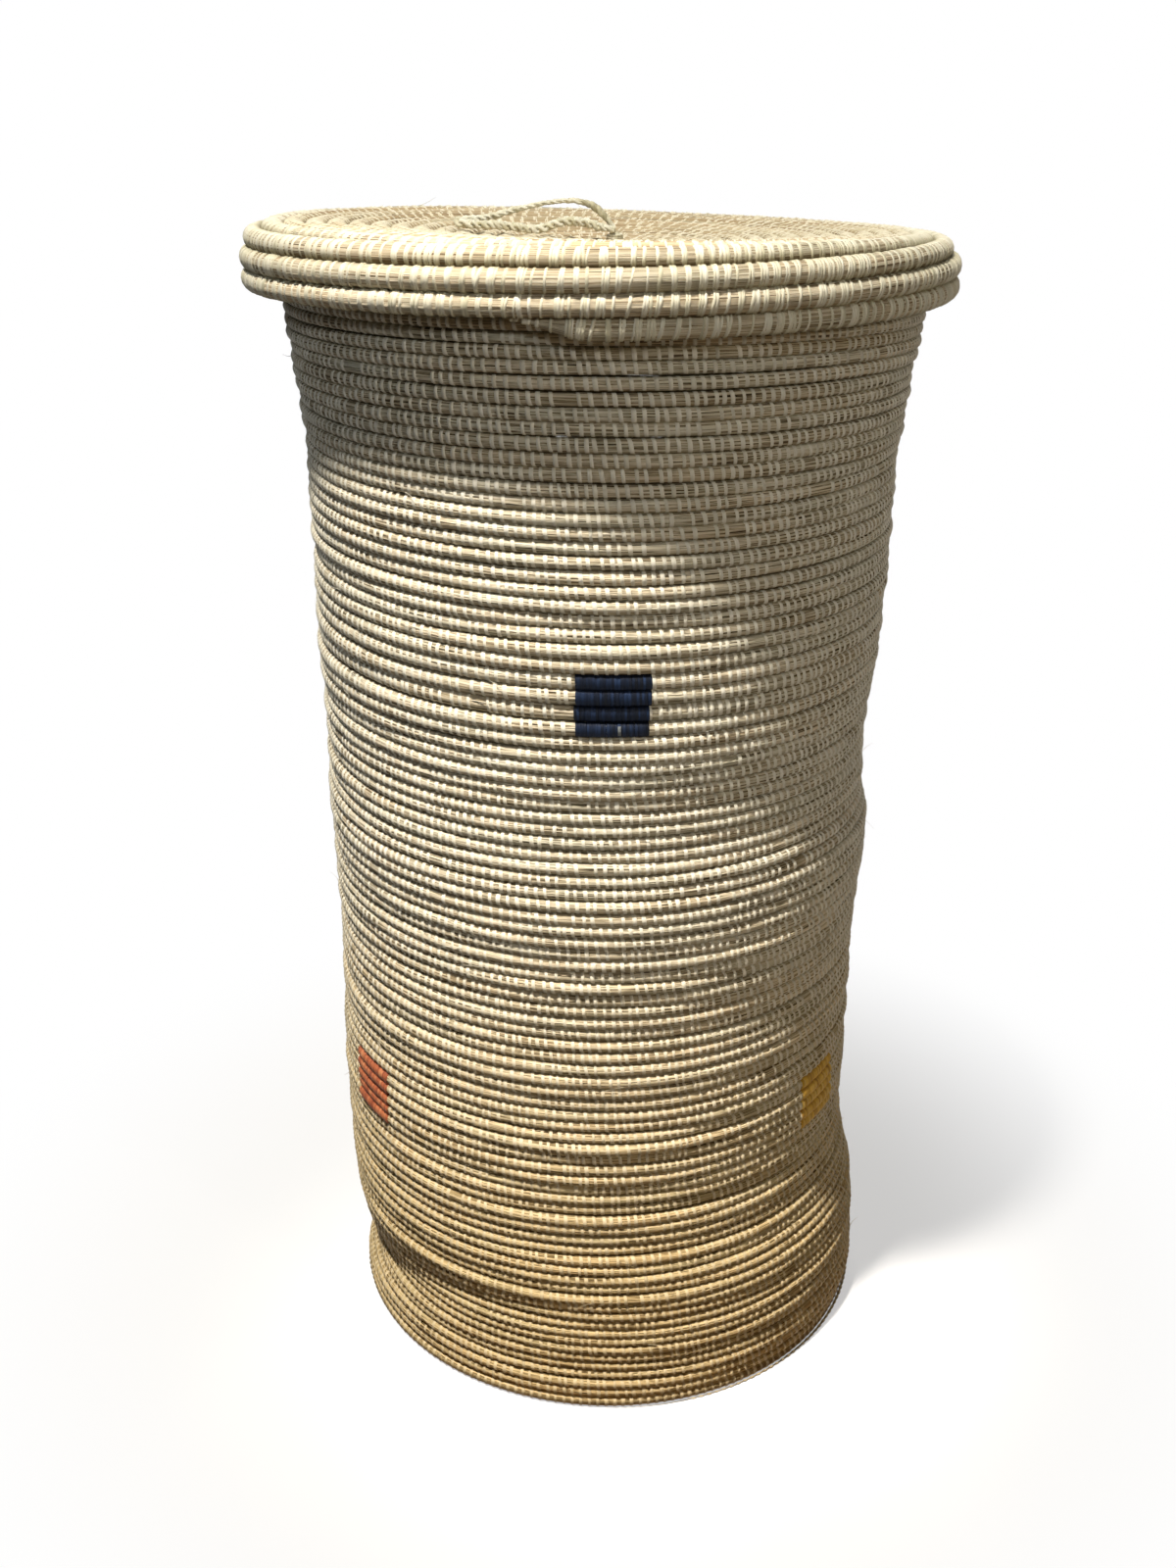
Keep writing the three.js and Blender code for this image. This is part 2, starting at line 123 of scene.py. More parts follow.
# Dye, azimuth in degrees, lowest row, rows
PATCHES = {
    "patch_navy_front": ("navy", 2, 62, 4),
    "patch_terracotta_left": ("terracotta", -58, 24, 5),
    "patch_ochre_right": ("ochre", 57.5, 24, 5),
    "patch_terracotta_back_right": ("terracotta", 122, 62, 4),
    "patch_ochre_back_left": ("ochre", -118, 62, 4),
    "patch_navy_back": ("navy", 180, 24, 5),
}

# Handle, from the hinge over the coil's start: right, back and up
HANDLE_ROUTE = np.array([
    (0, 3, 0), (-3.4, 3.2, 4.1), (-7, 3.6, 8.1), (-11, 4, 11.4), (-17, 4.2, 13.8), (-25, 4.4, 14.6),
    (-36, 4.6, 13.6), (-47, 4.8, 11.4), (-57, 4.8, 8.9), (-66, 4.8, 6.2), (-76, 4.6, 4.2), (-84, 3.4, 3.4),
    (-88.5, 0.4, 2.4), (-86, -3.6, 1.7), (-76, -5.6, 1.2), (-65, -6, 1.2), (-56, -5.6, 0.2),
    (-46, -5.4, -0.6), (-40, -5.2, 0.2), (-34, -5, 2.2), (-27, -4.8, 4), (-20, -4.4, 3.7),
    (-14, -3.8, 2.7), (-7, -3.2, 1), (0, -3, 0),
])
PIVOT_RISE = 5.2
# How far a strand goes along the cord while it goes once round, and how flat it is
CORD_LAY = 13
STRAND_FLATNESS = 0.72
# In shares of the cord: where the arch comes down, the slack right end's middle and spread, where the low run
# starts, and how long the gathered ends are
ARCH_FALL, RIGHT_END, LOW_START, CORD_END = (0.27, 0.37), (0.085, 0.05), (0.46, 0.56), 0.05
# How far the strands swing and how thick they are: plain, and what the arch's fall, the right end and the low
# run add
CORD_SWING = (0.72, 0.35, 0.3, 1.15)
CORD_FAT = (1.16, 0.46, 0.75, 0.42)
# The tie: its whipping's radius, turns and rise, its strands' distance and twist, its knot's size and drop
WHIP_RADIUS, WHIP_TURNS, WHIP_RISE = 4.0, 3.2, 1.25
TIE_ASIDE, TIE_TWIST = 1.4, 9
KNOT_SIZE, KNOT_DROP = 1.75, 5.2

# A loose fibre: points along it, sides, half thickness, and how much of that is lost at its tip
FIBRE_STEPS, FIBRE_SIDES = 7, 3
FIBRE_THICK, FIBRE_TAPER = 0.24, 0.85

# Bundles: the room left for strips, how square a section is, how soon a thinning end loses its depth
STRIP_ROOM = 0.6
WALL_FULLNESS, LID_FULLNESS = 0.85, 0.96
WALL_THINNING, LID_THINNING = 1.6, 1.5
# Their unevenness along the coil: noise steps in a turn, size in millimetres or as a share, seed
WALL_WANDER = [(9, 0.7, 1), (2.3, 0.6, 2), (31, 0.25, 3)]
WALL_LIFT, WALL_SWELL = [(7, 0.4, 4)], [(12, 0.06, 5)]
LID_WANDER, LID_SWELL = [(7, 0.35, 11), (19, 0.25, 12)], [(15, 0.035, 13)]
# Ridges of the lid's straws: noise steps for each radian, millimetres along for a step, share, seed
LID_RIDGES = [(6.2, 45, 1, 14), (11.3, 28, 0.6, 15)]
# Half the height that a bundle keeps where it thins to nothing
LEAST_HALF = 0.02
# The tone of the darkest straw, how much painted shade darkens it between two rows, and how narrow that
# painted dark line is
DARKEST, PAINTED_CREVICE_SHADE, PAINTED_CREVICE_POWER = 0.3, 0.97, 7

# Meshes: bands of the wall, rings in a turn of wall and base, the step of rings on the lid's skirt, rings on
# its top, and the mean girth for a flat spiral's fibres
BANDS = 6
WALL_RINGS, BASE_RINGS = 120, 90
SKIRT_STEP = 2.6
LID_TOP_RINGS = 2500
SPIRAL_GIRTH = 600


def smooth_step(low, high, value):
    """0 up to the first value, 1 from the second, and three t squared less two t cubed between them."""
    t = np.clip((value - low) / (high - low), 0, 1)
    return t * t * (3 - 2 * t)


def value_at(points, place):
    """Cubic pieces through [place, value] points, with slopes that are the mean of their neighbours'."""
    x, y = points[:, 0].astype(float), points[:, 1].astype(float)
    slopes = np.zeros(len(x))
    slopes[1:-1] = (y[2:] - y[:-2]) / (x[2:] - x[:-2])
    place = np.clip(place, x[0], x[-1])
    i = np.clip(np.searchsorted(x, place, side="right") - 1, 0, len(x) - 2)
    span = x[i + 1] - x[i]
    t = (place - x[i]) / span
    straight = y[i] + (y[i + 1] - y[i]) * t * t * (3 - 2 * t)
    return straight + t * (1 - t) * span * (slopes[i] * (1 - t) - slopes[i + 1] * t)


def hashed(i, j, seed):
    """A repeatable random number from 0 to 1 for each whole pair: the fraction of a large sine."""
    value = np.sin(i * 12.9898 + j * 78.233 + seed * 37.719) * 43758.5453
    return value - np.floor(value)


def noise(x, y, seed):
    """Smooth noise from -1 to 1: hashed lattice values, blended by smooth steps along both directions."""
    x, y = np.broadcast_arrays(np.asarray(x, float), np.asarray(y, float))
    i, j = np.floor(x), np.floor(y)
    a, b = x - i, y - j
    a, b = a * a * (3 - 2 * a), b * b * (3 - 2 * b)
    low = hashed(i, j, seed) * (1 - a) + hashed(i + 1, j, seed) * a
    high = hashed(i, j + 1, seed) * (1 - a) + hashed(i + 1, j + 1, seed) * a
    return 2 * (low * (1 - b) + high * b) - 1


def waves(turn, parts):
    """The sum of smooth noises along a coil, each with its steps in a turn, its size and its seed."""
    return sum(size * noise(turn * steps, 0, seed) for steps, size, seed in parts)


def lean(points, askew=0.0):
    """The slump of the soft basket: height gains a slope sideways low down, and a backward one near the
    mouth. The lid's pieces also lose height towards the right, because the lid sits askew."""
    x, y, z = points[..., 0], points[..., 1], points[..., 2]
    tilt = smooth_step(*TILT_SPAN, z) * SIDE_TILT * x
    slump = smooth_step(*SLUMP_SPAN, z) * (BACK_TILT * y + MOUTH_TWIST * x * y / TWIST_ARM)
    return np.stack([x, y, z + tilt + slump - askew * x], -1)


def row_level(row):
    """Height of a row's lower edge where the coil passes the front."""
    return ROW_PITCH * row + value_at(ROW_DRIFT, row)


def wall_radius(azimuth, height):
    """Outer radius: the profile at this height, and each bulge as a bell round its middle."""
    radius = value_at(WALL_PROFILE, height)
    for middle, level, wide, tall, out, climb in BULGES:
        turned = (np.degrees(azimuth) - middle + 180) % 360 - 180
        bell = -(turned / wide) ** 2 - ((height - level - climb * turned) / tall) ** 2
        radius = radius + out * np.exp(bell)
    return radius


def around(azimuth, radius, height, shift=0):
    """Points at an azimuth from the front, a distance from the middle and a height."""
    x = radius * np.sin(azimuth) + shift
    return np.stack(np.broadcast_arrays(x, -radius * np.cos(azimuth), height), -1)


def rounded(angle, fullness):
    """Cosine and sine of an angle raised to a power below 1: a circle filled out towards a square."""
    across, along = np.cos(angle), np.sin(angle)
    return np.sign(across) * np.abs(across) ** fullness, np.sign(along) * np.abs(along) ** fullness


def wall_row(turn, angle, proud=0.0):
    """The wall's bundle. Its middle climbs one row in a turn, leftwards; its section is an ellipse between
    the rows below and above, 0 at the outermost point, and wanders in and out by slow noise."""
    azimuth = -2 * math.pi * turn
    bottom = row_level(np.maximum(turn, 1))
    top = np.minimum(row_level(turn + 1), WALL_TOP)
    half = np.maximum((top - bottom) / 2, LEAST_HALF)
    middle = (top + bottom) / 2
    share = np.minimum(1, half / (ROW_PITCH / 2))
    swell = 1 + waves(turn, WALL_SWELL)
    thick = WALL_THICKNESS / 2 * swell * np.minimum(1, share * WALL_THINNING)
    radius = wall_radius(azimuth, middle) + waves(turn, WALL_WANDER) - WALL_THICKNESS / 2 - STRIP_ROOM
    across, along = rounded(angle, WALL_FULLNESS)
    out = radius + thick * across + proud * np.cos(angle)
    height = middle + waves(turn, WALL_LIFT) * share + half * swell * along + proud * np.sin(angle)
    return lean(around(azimuth, out, height, value_at(SIDE_SHIFT, middle)))


def base_row(turn, angle, proud=0.0):
    """The base's bundle: a flat spiral inwards from the wall's foot. Its first turn widens from nothing."""
    outer = ROW_PITCH * np.maximum(turn, 0)
    inner = ROW_PITCH * (turn + 1)
    half = np.maximum((inner - outer) / 2, LEAST_HALF)
    azimuth = 2 * math.pi * turn
    edge = wall_radius(azimuth, 0) - BASE_INSET
    middle = edge - (outer + inner) / 2
    tall = row_level(1) / 2 * np.minimum(1, half / (ROW_PITCH / 2) * WALL_THINNING)
    out = middle + (half * BASE_PRESS + proud) * np.sin(angle)
    height = tall + (tall + proud) * np.cos(angle) * (1 - proud / ROW_PITCH)
    shift = value_at(SIDE_SHIFT, np.zeros_like(middle)) * np.clip(middle / edge, 0, 1)
    return around(azimuth, np.maximum(out, BASE_EYE), np.maximum(height, 0), shift)


MOUTH_RADIUS = float(value_at(WALL_PROFILE, WALL_TOP))
SKIRT_RADIUS = MOUTH_RADIUS + LID_CLEARANCE + LID_HEIGHT / 2
LID_TOP_MIDDLE = WALL_TOP + LID_SEAT_GAP + LID_HEIGHT / 2
SKIRT_STRAIGHT = LID_SKIRT_DROP - LID_EDGE_RADIUS
SKIRT_LENGTH = SKIRT_STRAIGHT + math.pi / 2 * LID_EDGE_RADIUS
FLAT_RADIUS = SKIRT_RADIUS - LID_EDGE_RADIUS
COIL_END_RADIUS = LID_HOLE + LID_PITCH / 2
COIL_END = SKIRT_LENGTH + FLAT_RADIUS - LID_HOLE
LID_TURNS = (SKIRT_LENGTH + FLAT_RADIUS - COIL_END_RADIUS) / LID_PITCH
SKIRT_TURNS = SKIRT_LENGTH / LID_PITCH
PIVOT = np.array([LID_START_ASIDE, 0, LID_TOP_MIDDLE - LID_DISH + LID_HEIGHT / 2 + PIVOT_RISE])


def lid_profile(length):
    """Radius, height and outward direction along the lid's section: up the skirt, round the edge in a quarter
    circle, and in over the dish. Its depth goes by the square of one less the squared share of the radius."""
    angle = np.clip((length - SKIRT_STRAIGHT) / LID_EDGE_RADIUS, 0, math.pi / 2)
    up, out = np.sin(angle), np.cos(angle)
    below = np.minimum(length - SKIRT_STRAIGHT, 0)
    inwards = np.maximum(length - SKIRT_LENGTH, 0)
    radius = FLAT_RADIUS + LID_EDGE_RADIUS * out - inwards
    share = np.where(inwards > 0, 1 - (radius / FLAT_RADIUS) ** 2, 0)
    height = LID_TOP_MIDDLE - LID_EDGE_RADIUS * (1 - up) + below - LID_DISH * share * share
    return radius, height, out, up


def ridden_place(place, azimuth):
    """Where a line along the coil really lies on the section: it rides up at one side, as a bell round that
    side's middle, and less towards the coil's start."""
    turned = (np.degrees(azimuth) - LID_RISE_AZIMUTH + 180) % 360 - 180
    share = np.clip(1 - (place - SKIRT_LENGTH) / (FLAT_RADIUS - COIL_END_RADIUS), 0, 1)
    return place + LID_RISE * share * np.exp(-((turned / LID_RISE_SPREAD) ** 2))


def lid_row(turn, angle, proud=0.0, straws=0.0):
    """The lid's bundle: an ellipse along its section's path, 0 at the outermost point, tapered at the tail,
    which is tucked in under the row above. Its rings grow less centred towards its start, which thins to
    nothing round the cord. Its straws are fine ridges, by noise round the section and slowly along it."""
    azimuth = LID_TAIL_AZIMUTH + 2 * math.pi * turn
    taper = TAIL_TIP + (1 - TAIL_TIP) * smooth_step(*TAIL_SPAN, turn)
    low = ridden_place(LID_PITCH * (turn - 0.5), azimuth)
    high = np.minimum(ridden_place(LID_PITCH * (turn + 0.5), azimuth), COIL_END)
    half = (high - low) / 2
    thick = (LID_HEIGHT / 2 - STRIP_ROOM) * np.minimum(1, LID_THINNING * half / (LID_PITCH / 2))
    place = (low + high) / 2 + half * (1 - taper)
    radius, height, out, up = lid_profile(place)
    wander = waves(turn, LID_WANDER) * taper
    swell = 1 + waves(turn, LID_SWELL)
    girth = radius * 2 * math.pi * turn
    ridges = straws * sum(size * noise(angle * steps, girth / step, seed)
                          for steps, step, size, seed in LID_RIDGES)
    full_across, full_along = rounded(angle, LID_FULLNESS)
    raised = proud + ridges * taper
    across = thick * swell * taper * full_across + raised * np.cos(angle) + wander
    along = half * swell * taper * full_along + raised * np.sin(angle)
    reach = np.maximum(radius + out * across - up * along, LID_EYE)
    reach = reach - TAIL_TUCK * (1 - smooth_step(*TAIL_TUCK_SPAN, turn))
    aside = LID_START_ASIDE * np.clip(1 - reach / FLAT_RADIUS, 0, 1)
    return lean(around(azimuth, reach, height + up * across + out * along, aside), LID_TILT)


def put(name, data, place=(0, 0, 0), turn=(0, 0, 0)):
    """A new object in the scene, at its place and turned."""
    piece = bpy.data.objects.new(name, data)
    piece.location = place
    piece.rotation_euler = turn
    bpy.context.scene.collection.objects.link(piece)
    return piece


def build_mesh(name, points, quads, finish, uv=None, tone=None, caps=()):
    """Puts whole arrays into a mesh: points in millimetres, quads, caps, and a UV and a tone per point."""
    points = np.ascontiguousarray(points.reshape(-1, 3) * MM, dtype=np.float32)
    corners = np.concatenate([quads.ravel()] + [np.asarray(cap) for cap in caps]).astype(np.int32)
    sizes = np.concatenate([np.full(len(quads), 4)] + [[len(cap)] for cap in caps]).astype(np.int32)
    starts = (np.cumsum(sizes) - sizes).astype(np.int32)
    mesh = bpy.data.meshes.new(name)
    mesh.vertices.add(len(points))
    mesh.vertices.foreach_set("co", points.ravel())
    mesh.loops.add(len(corners))
    mesh.loops.foreach_set("vertex_index", corners)
    mesh.polygons.add(len(sizes))
    mesh.polygons.foreach_set("loop_start", starts)
    mesh.polygons.foreach_set("use_smooth", np.ones(len(sizes), dtype=bool))
    mesh.update(calc_edges=True)
    if uv is not None:
        layer = mesh.uv_layers.new(name="fibres")
        layer.data.foreach_set("uv", uv.reshape(-1, 2)[corners].astype(np.float32).ravel())
    if tone is not None:
        layer = mesh.attributes.new("tone", "FLOAT", "POINT")
        layer.data.foreach_set("value", np.ascontiguousarray(tone, dtype=np.float32).ravel())
    mesh.validate()
    mesh.materials.append(finish)
    return put(name, mesh)


def grid_quads(copies, along, across, wrap_along=False, wrap_across=False):
    """Quads of many equal grids, numbered copy by copy, then along, then across."""
    i = np.arange(along if wrap_along else along - 1)
    j = np.arange(across if wrap_across else across - 1)
    i, j = np.meshgrid(i, j, indexing="ij")
    next_i, next_j = (i + 1) % along, (j + 1) % across
    quad = np.stack([i * across + j, next_i * across + j, next_i * across + next_j, i * across + next_j], -1)
    start = np.arange(copies)[:, None, None] * along * across
    return (quad.reshape(1, -1, 4) + start).reshape(-1, 4)


def tone_and_painted_shade(tones, angle):
    """A tone per point: the bundle's or strip's own, made darker by painted shade that follows a high power
    of the sine of the section's angle, so where it goes down between two rows."""
    return (DARKEST + (1 - DARKEST) * tones) * (1 - PAINTED_CREVICE_SHADE * np.abs(np.sin(angle)) ** PAINTED_CREVICE_POWER)


def coil_piece(name, surface, turns, girth, sides, finish, flip, seed, **options):
    """A bundle along its whole route: rings of the surface at each turn, closed by a cap at both ends."""
    angles = math.pi / 2 + np.arange(sides + 1) / sides * 2 * math.pi
    t, a = np.meshgrid(turns, angles[:-1], indexing="ij")
    points = surface(t, a, **options)
    u = np.broadcast_to((turns * girth * MM)[:, None], t.shape)
    uv = np.stack([u, np.broadcast_to(np.arange(sides) / sides, t.shape)], -1)
    quads = grid_quads(1, len(turns), sides, wrap_across=True)
    last = len(turns) * sides
    caps = [np.arange(sides)[::-1], np.arange(last - sides, last)]
    if flip:
        quads = quads[:, ::-1]
        caps = [cap[::-1] for cap in caps]
    # Its tone holds painted shade where the bundle goes down between two rows.
    return build_mesh(name, points, quads, finish, uv, tone_and_painted_shade(row_tone(t, seed), a), caps)


# Sections of a strip: share of its width, share of its height
FLAT = ((-0.5, 0), (-0.36, 1), (0.36, 1), (0.5, 0))
SOFT = ((-0.5, 0), (-0.3, 1), (0.3, 1), (0.5, 0))
RIDGE = ((-0.5, 0), (0, 1), (0.5, 0))


def bands_mesh(name, surface, turns, angles, proud, uv, finish, tones, flip, ring=False):
    """Many bands in one mesh: the surface at each band's turns and the section's angles, raised as given. A
    ring's last angle joins its first."""
    angles = np.broadcast_to(angles[:, None], turns.shape)
    points = surface(turns, angles, np.broadcast_to(proud, turns.shape))
    quads = grid_quads(*turns.shape, wrap_along=ring)
    if flip:
        quads = quads[:, ::-1]
    uv = np.stack(np.broadcast_arrays(*uv), -1)
    # The tone holds painted shade where a band goes down between two rows.
    return build_mesh(name, points, quads, finish, uv, tone_and_painted_shade(tones[:, None, None], angles))


def strips_piece(name, finish, angles, profile, turns, widths, slants, tones, prouds):
    """Sewn strips over the wall's bundle: each is a thin raised band laid over the section's angles, with
    buried edges, and it goes under where two rows meet, by a high power of the angle's sine. It leans along
    the row by its slant, more steeply towards its ends."""
    side, rise = np.array(profile).T
    turns, widths, slants, prouds = (v[:, None, None] for v in (turns, widths, slants, prouds))
    share = (angles - (angles[0] + angles[-1]) / 2) / math.pi
    leaning = LEAN_EVEN * share + LEAN_END * share ** 3
    along = slants * leaning[:, None] + widths * side
    sunk = DIVE * np.sin(angles)[:, None] ** DIVE_POWER
    proud = prouds * rise * (1 - sunk) - STRIP_BURIED * (1 - rise)
    u = side * widths * MM + (tones * SHIFT_BY_TONE)[:, None, None]
    v = angles[:, None] * STRIP_GRAIN * MM + turns * WALL_GIRTH * MM
    places = turns + along / WALL_GIRTH
    return bands_mesh(name, wall_row, places, angles, proud, (u, v), finish, tones, True)


def ring_strips(name, surface, turns, widths, lengths, slants, angles, finish, tones, prouds, flip, profile):
    """Strips that go all the way round a bundle whose turns differ in length. Each leans along it by half its
    slant times the sine of the section's angle."""
    side, rise = np.array(profile).T
    facts = (turns, widths, lengths, slants, prouds)
    turns, widths, lengths, slants, prouds = (v[:, None, None] for v in facts)
    along = slants * np.sin(angles)[:, None] / 2 + widths * side
    proud = prouds * rise - STRIP_BURIED * (1 - rise)
    u = side * widths * MM + (tones * SHIFT_BY_TONE)[:, None, None]
    v = angles[:, None] * RING_GRAIN * MM + turns * SHIFT_BY_TURN
    places = turns + along / lengths
    return bands_mesh(name, surface, places, angles, proud, (u, v), finish, tones, flip, ring=True)


class Socket:
    """One output of a material's nodes. Arithmetic on it adds Math nodes."""

    def __init__(self, finish, output):
        self.finish, self.output = finish, output

    def maths(self, operation, first, second):
        """The output of a Math node over two values or sockets."""
        return self.finish.node("ShaderNodeMath", {"operation": operation}, {0: first, 1: second})

    def __add__(self, other):
        return self.maths("ADD", self, other)

    def __radd__(self, other):
        return self.maths("ADD", other, self)

    def __sub__(self, other):
        return self.maths("SUBTRACT", self, other)

    def __rsub__(self, other):
        return self.maths("SUBTRACT", other, self)

    def __mul__(self, other):
        return self.maths("MULTIPLY", self, other)

    def __rmul__(self, other):
        return self.maths("MULTIPLY", other, self)


class Finish:
    """The nodes of a material or of the world."""

    def __init__(self, owner):
        owner.use_nodes = True
        self.owner = owner
        self.tree = owner.node_tree
        self.tree.nodes.clear()

    def node(self, kind, settings=None, sockets=None, output=0):
        """Adds a node: its settings first, a ramp's stops among them, then each socket's value or link."""
        node = self.tree.nodes.new(kind)
        for key, value in (settings or {}).items():
            if key == "stops":
                self.set_stops(node.color_ramp.elements, value)
            else:
                setattr(node, key, value)
        for key, value in (sockets or {}).items():
            if isinstance(value, Socket):
                self.tree.links.new(value.output, node.inputs[key])
            else:
                node.inputs[key].default_value = value
        return Socket(self, node.outputs[output]) if len(node.outputs) else None

    def set_stops(self, elements, stops):
        """Puts (place, colour) stops into a new ramp, which starts with two of its own."""
        for place, _ in stops[2:]:
            elements.new(place)
        for element, (place, colour) in zip(elements, stops):
            element.position = place
            element.color = (*colour, 1)

    def stops(self, factor, stops):
        """A colour ramp through (place, colour) stops."""
        return self.node("ShaderNodeValToRGB", {"stops": stops}, {0: factor})

    def mix(self, factor, first, second, blend="MIX"):
        """The second colour over the first, by a factor and a way of blending."""
        settings = {"data_type": "RGBA", "blend_type": blend}
        colours = [c if isinstance(c, Socket) else (*c, 1) for c in (first, second)]
        return self.node("ShaderNodeMix", settings, {0: factor, 6: colours[0], 7: colours[1]}, 2)

    def noise(self, uv, steps, detail, roughness=0.6):
        """Smooth noise from 0 to 1, by its steps in a metre along and round the fibres."""
        place = self.node("ShaderNodeVectorMath", {"operation": "MULTIPLY"}, {0: uv, 1: (*steps, 1)})
        sockets = {"Vector": place, "Scale": 1.0, "Detail": detail, "Roughness": roughness}
        return self.node("ShaderNodeTexNoise", {}, sockets)

    def close(self, shader, kind="ShaderNodeOutputMaterial"):
        """Leads a shader to the output."""
        self.node(kind, {}, {0: shader})
        return self.owner

    def surface(self, colour, roughness, gloss, height, strength, distance):
        """The closing shader. Its normal follows a height, by a strength and the metres that 1 stands for."""
        bump = self.node("ShaderNodeBump", {}, {
            "Strength": strength, "Distance": distance, "Height": height})
        return self.close(self.node("ShaderNodeBsdfPrincipled", {}, {
            "Base Color": colour, "Roughness": roughness, "Specular IOR Level": gloss, "Normal": bump}))


def grass_finish(name):
    """A new material's nodes, with where a point lies on its fibres and how pale it is."""
    finish = Finish(bpy.data.materials.new(name))
    uv = finish.node("ShaderNodeUVMap", {"uv_map": "fibres"})
    return finish, uv, finish.node("ShaderNodeAttribute", {"attribute_name": "tone"}, output=2)


def srgb(colour):
    """A colour seen on a screen, 0 to 255, as light."""
    return tuple(round(((c / 255 + 0.055) / 1.055) ** 2.4, 4) for c in colour)


def painted_floor_light(finish, colour, tint):
    """Painted warm light from the floor: the colour is tinted golden by height, most at the lowest rows."""
    place = finish.node("ShaderNodeTexCoord", output=3)
    height = finish.node("ShaderNodeSeparateXYZ", {}, {0: place}, 2)
    low = finish.node("ShaderNodeMapRange", {"interpolation_type": "SMOOTHSTEP"}, {
        "Value": height, "From Min": 0.4, "From Max": 0.06, "To Min": 0.0, "To Max": 1.0})
    return finish.mix(low, colour, finish.mix(1.0, colour, tint, "MULTIPLY"))


# Where a stalk's colours lie in the noise, tints of a bundle's stretches, and its shades by tone, the darkest
# being painted shade between rows
STALK_STOPS = (0.36, 0.43, 0.51, 0.62)
STRETCH_HUES = [(0.36, (1.0, 0.94, 0.87)), (0.5, (1.0, 0.98, 0.95)), (0.64, (0.92, 0.95, 0.95))]
TONE_SHADES = [(0.0, (0.26, 0.22, 0.16)), (0.3, (0.72, 0.7, 0.66)), (1.0, (1.0, 1.0, 1.0))]
STRAW_GLOSS = 0.06
# The strength of the relief and its depth in metres
STRAW_RELIEF, STRIP_RELIEF = (0.9, 0.0016), (0.6, 0.0007)


def straw_finish(name, stalks_round, streak_metres, *colours):
    """A bundle of dry stalks: streaks along the bundle, each stalk its own shade, dark lines between them,
    and stretches of it that are browner or greyer than the rest. The tone darkens it with painted shade
    between rows."""
    finish, uv, tone = grass_finish(name)
    stalks = finish.noise(uv, (1 / streak_metres, stalks_round), 2.5)
    hairs = finish.noise(uv, (3 / streak_metres, 2.7 * stalks_round), 2.0)
    colour = finish.stops(stalks * 0.72 + hairs * 0.28, list(zip(STALK_STOPS, map(srgb, colours))))
    hue = finish.stops(finish.noise(uv, (7.0, 1.2), 2.0), STRETCH_HUES)
    shade = finish.stops(tone, TONE_SHADES)
    base = finish.mix(1.0, finish.mix(1.0, colour, hue, "MULTIPLY"), shade, "MULTIPLY")
    # Painted warm floor light tints it golden towards the floor.
    return finish.surface(painted_floor_light(finish, base, STRAW_PAINTED_FLOOR_LIGHT), 0.6 + 0.2 * hairs, STRAW_GLOSS,
                          stalks + 0.5 * hairs, *STRAW_RELIEF)


def strip_finish(name, stops, roughness, hair_colour, hair_share, gloss, stain=(0.62, 0.56, 0.44)):
    """A split palm strip: its own tone, hair-fine fibres along it, a soft gloss on the outer skin."""
    finish, uv, tone = grass_finish(name)
    hairs = finish.noise(uv, (2400.0, 70.0), 3.0)
    stains = finish.noise(uv, (260.0, 150.0), 2.0, 0.5)
    own = finish.stops(tone, [(place, srgb(colour)) for place, *colour in stops])
    darker = finish.mix((1 - hairs) * hair_share, own, srgb(hair_colour))
    base = finish.mix(stains * 0.5, darker, stain, "SOFT_LIGHT")
    # Painted warm floor light tints it golden towards the floor.
    return finish.surface(painted_floor_light(finish, base, STRIP_PAINTED_FLOOR_LIGHT), roughness + 0.25 * hairs, gloss, hairs,
                          *STRIP_RELIEF)


# Tints of straw and strips at the floor: painted warm light bounced off it
STRAW_PAINTED_FLOOR_LIGHT = (1.0, 0.86, 0.6)
STRIP_PAINTED_FLOOR_LIGHT = (0.8, 0.68, 0.48)

# Stalks round a bundle, a streak's length in metres, and screen colours: gaps, brown, middle and pale stalks
STRAWS = {
    "wall straw": (26, 0.045, (60, 52, 38), (160, 147, 120), (230, 220, 194), (246, 239, 219)),
    "lid straw": (64, 0.09, (88, 70, 48), (190, 171, 138), (238, 226, 198), (248, 241, 220)),
    "lid top straw": (36, 0.08, (120, 96, 66), (186, 162, 124), (216, 198, 162), (232, 219, 190)),
}
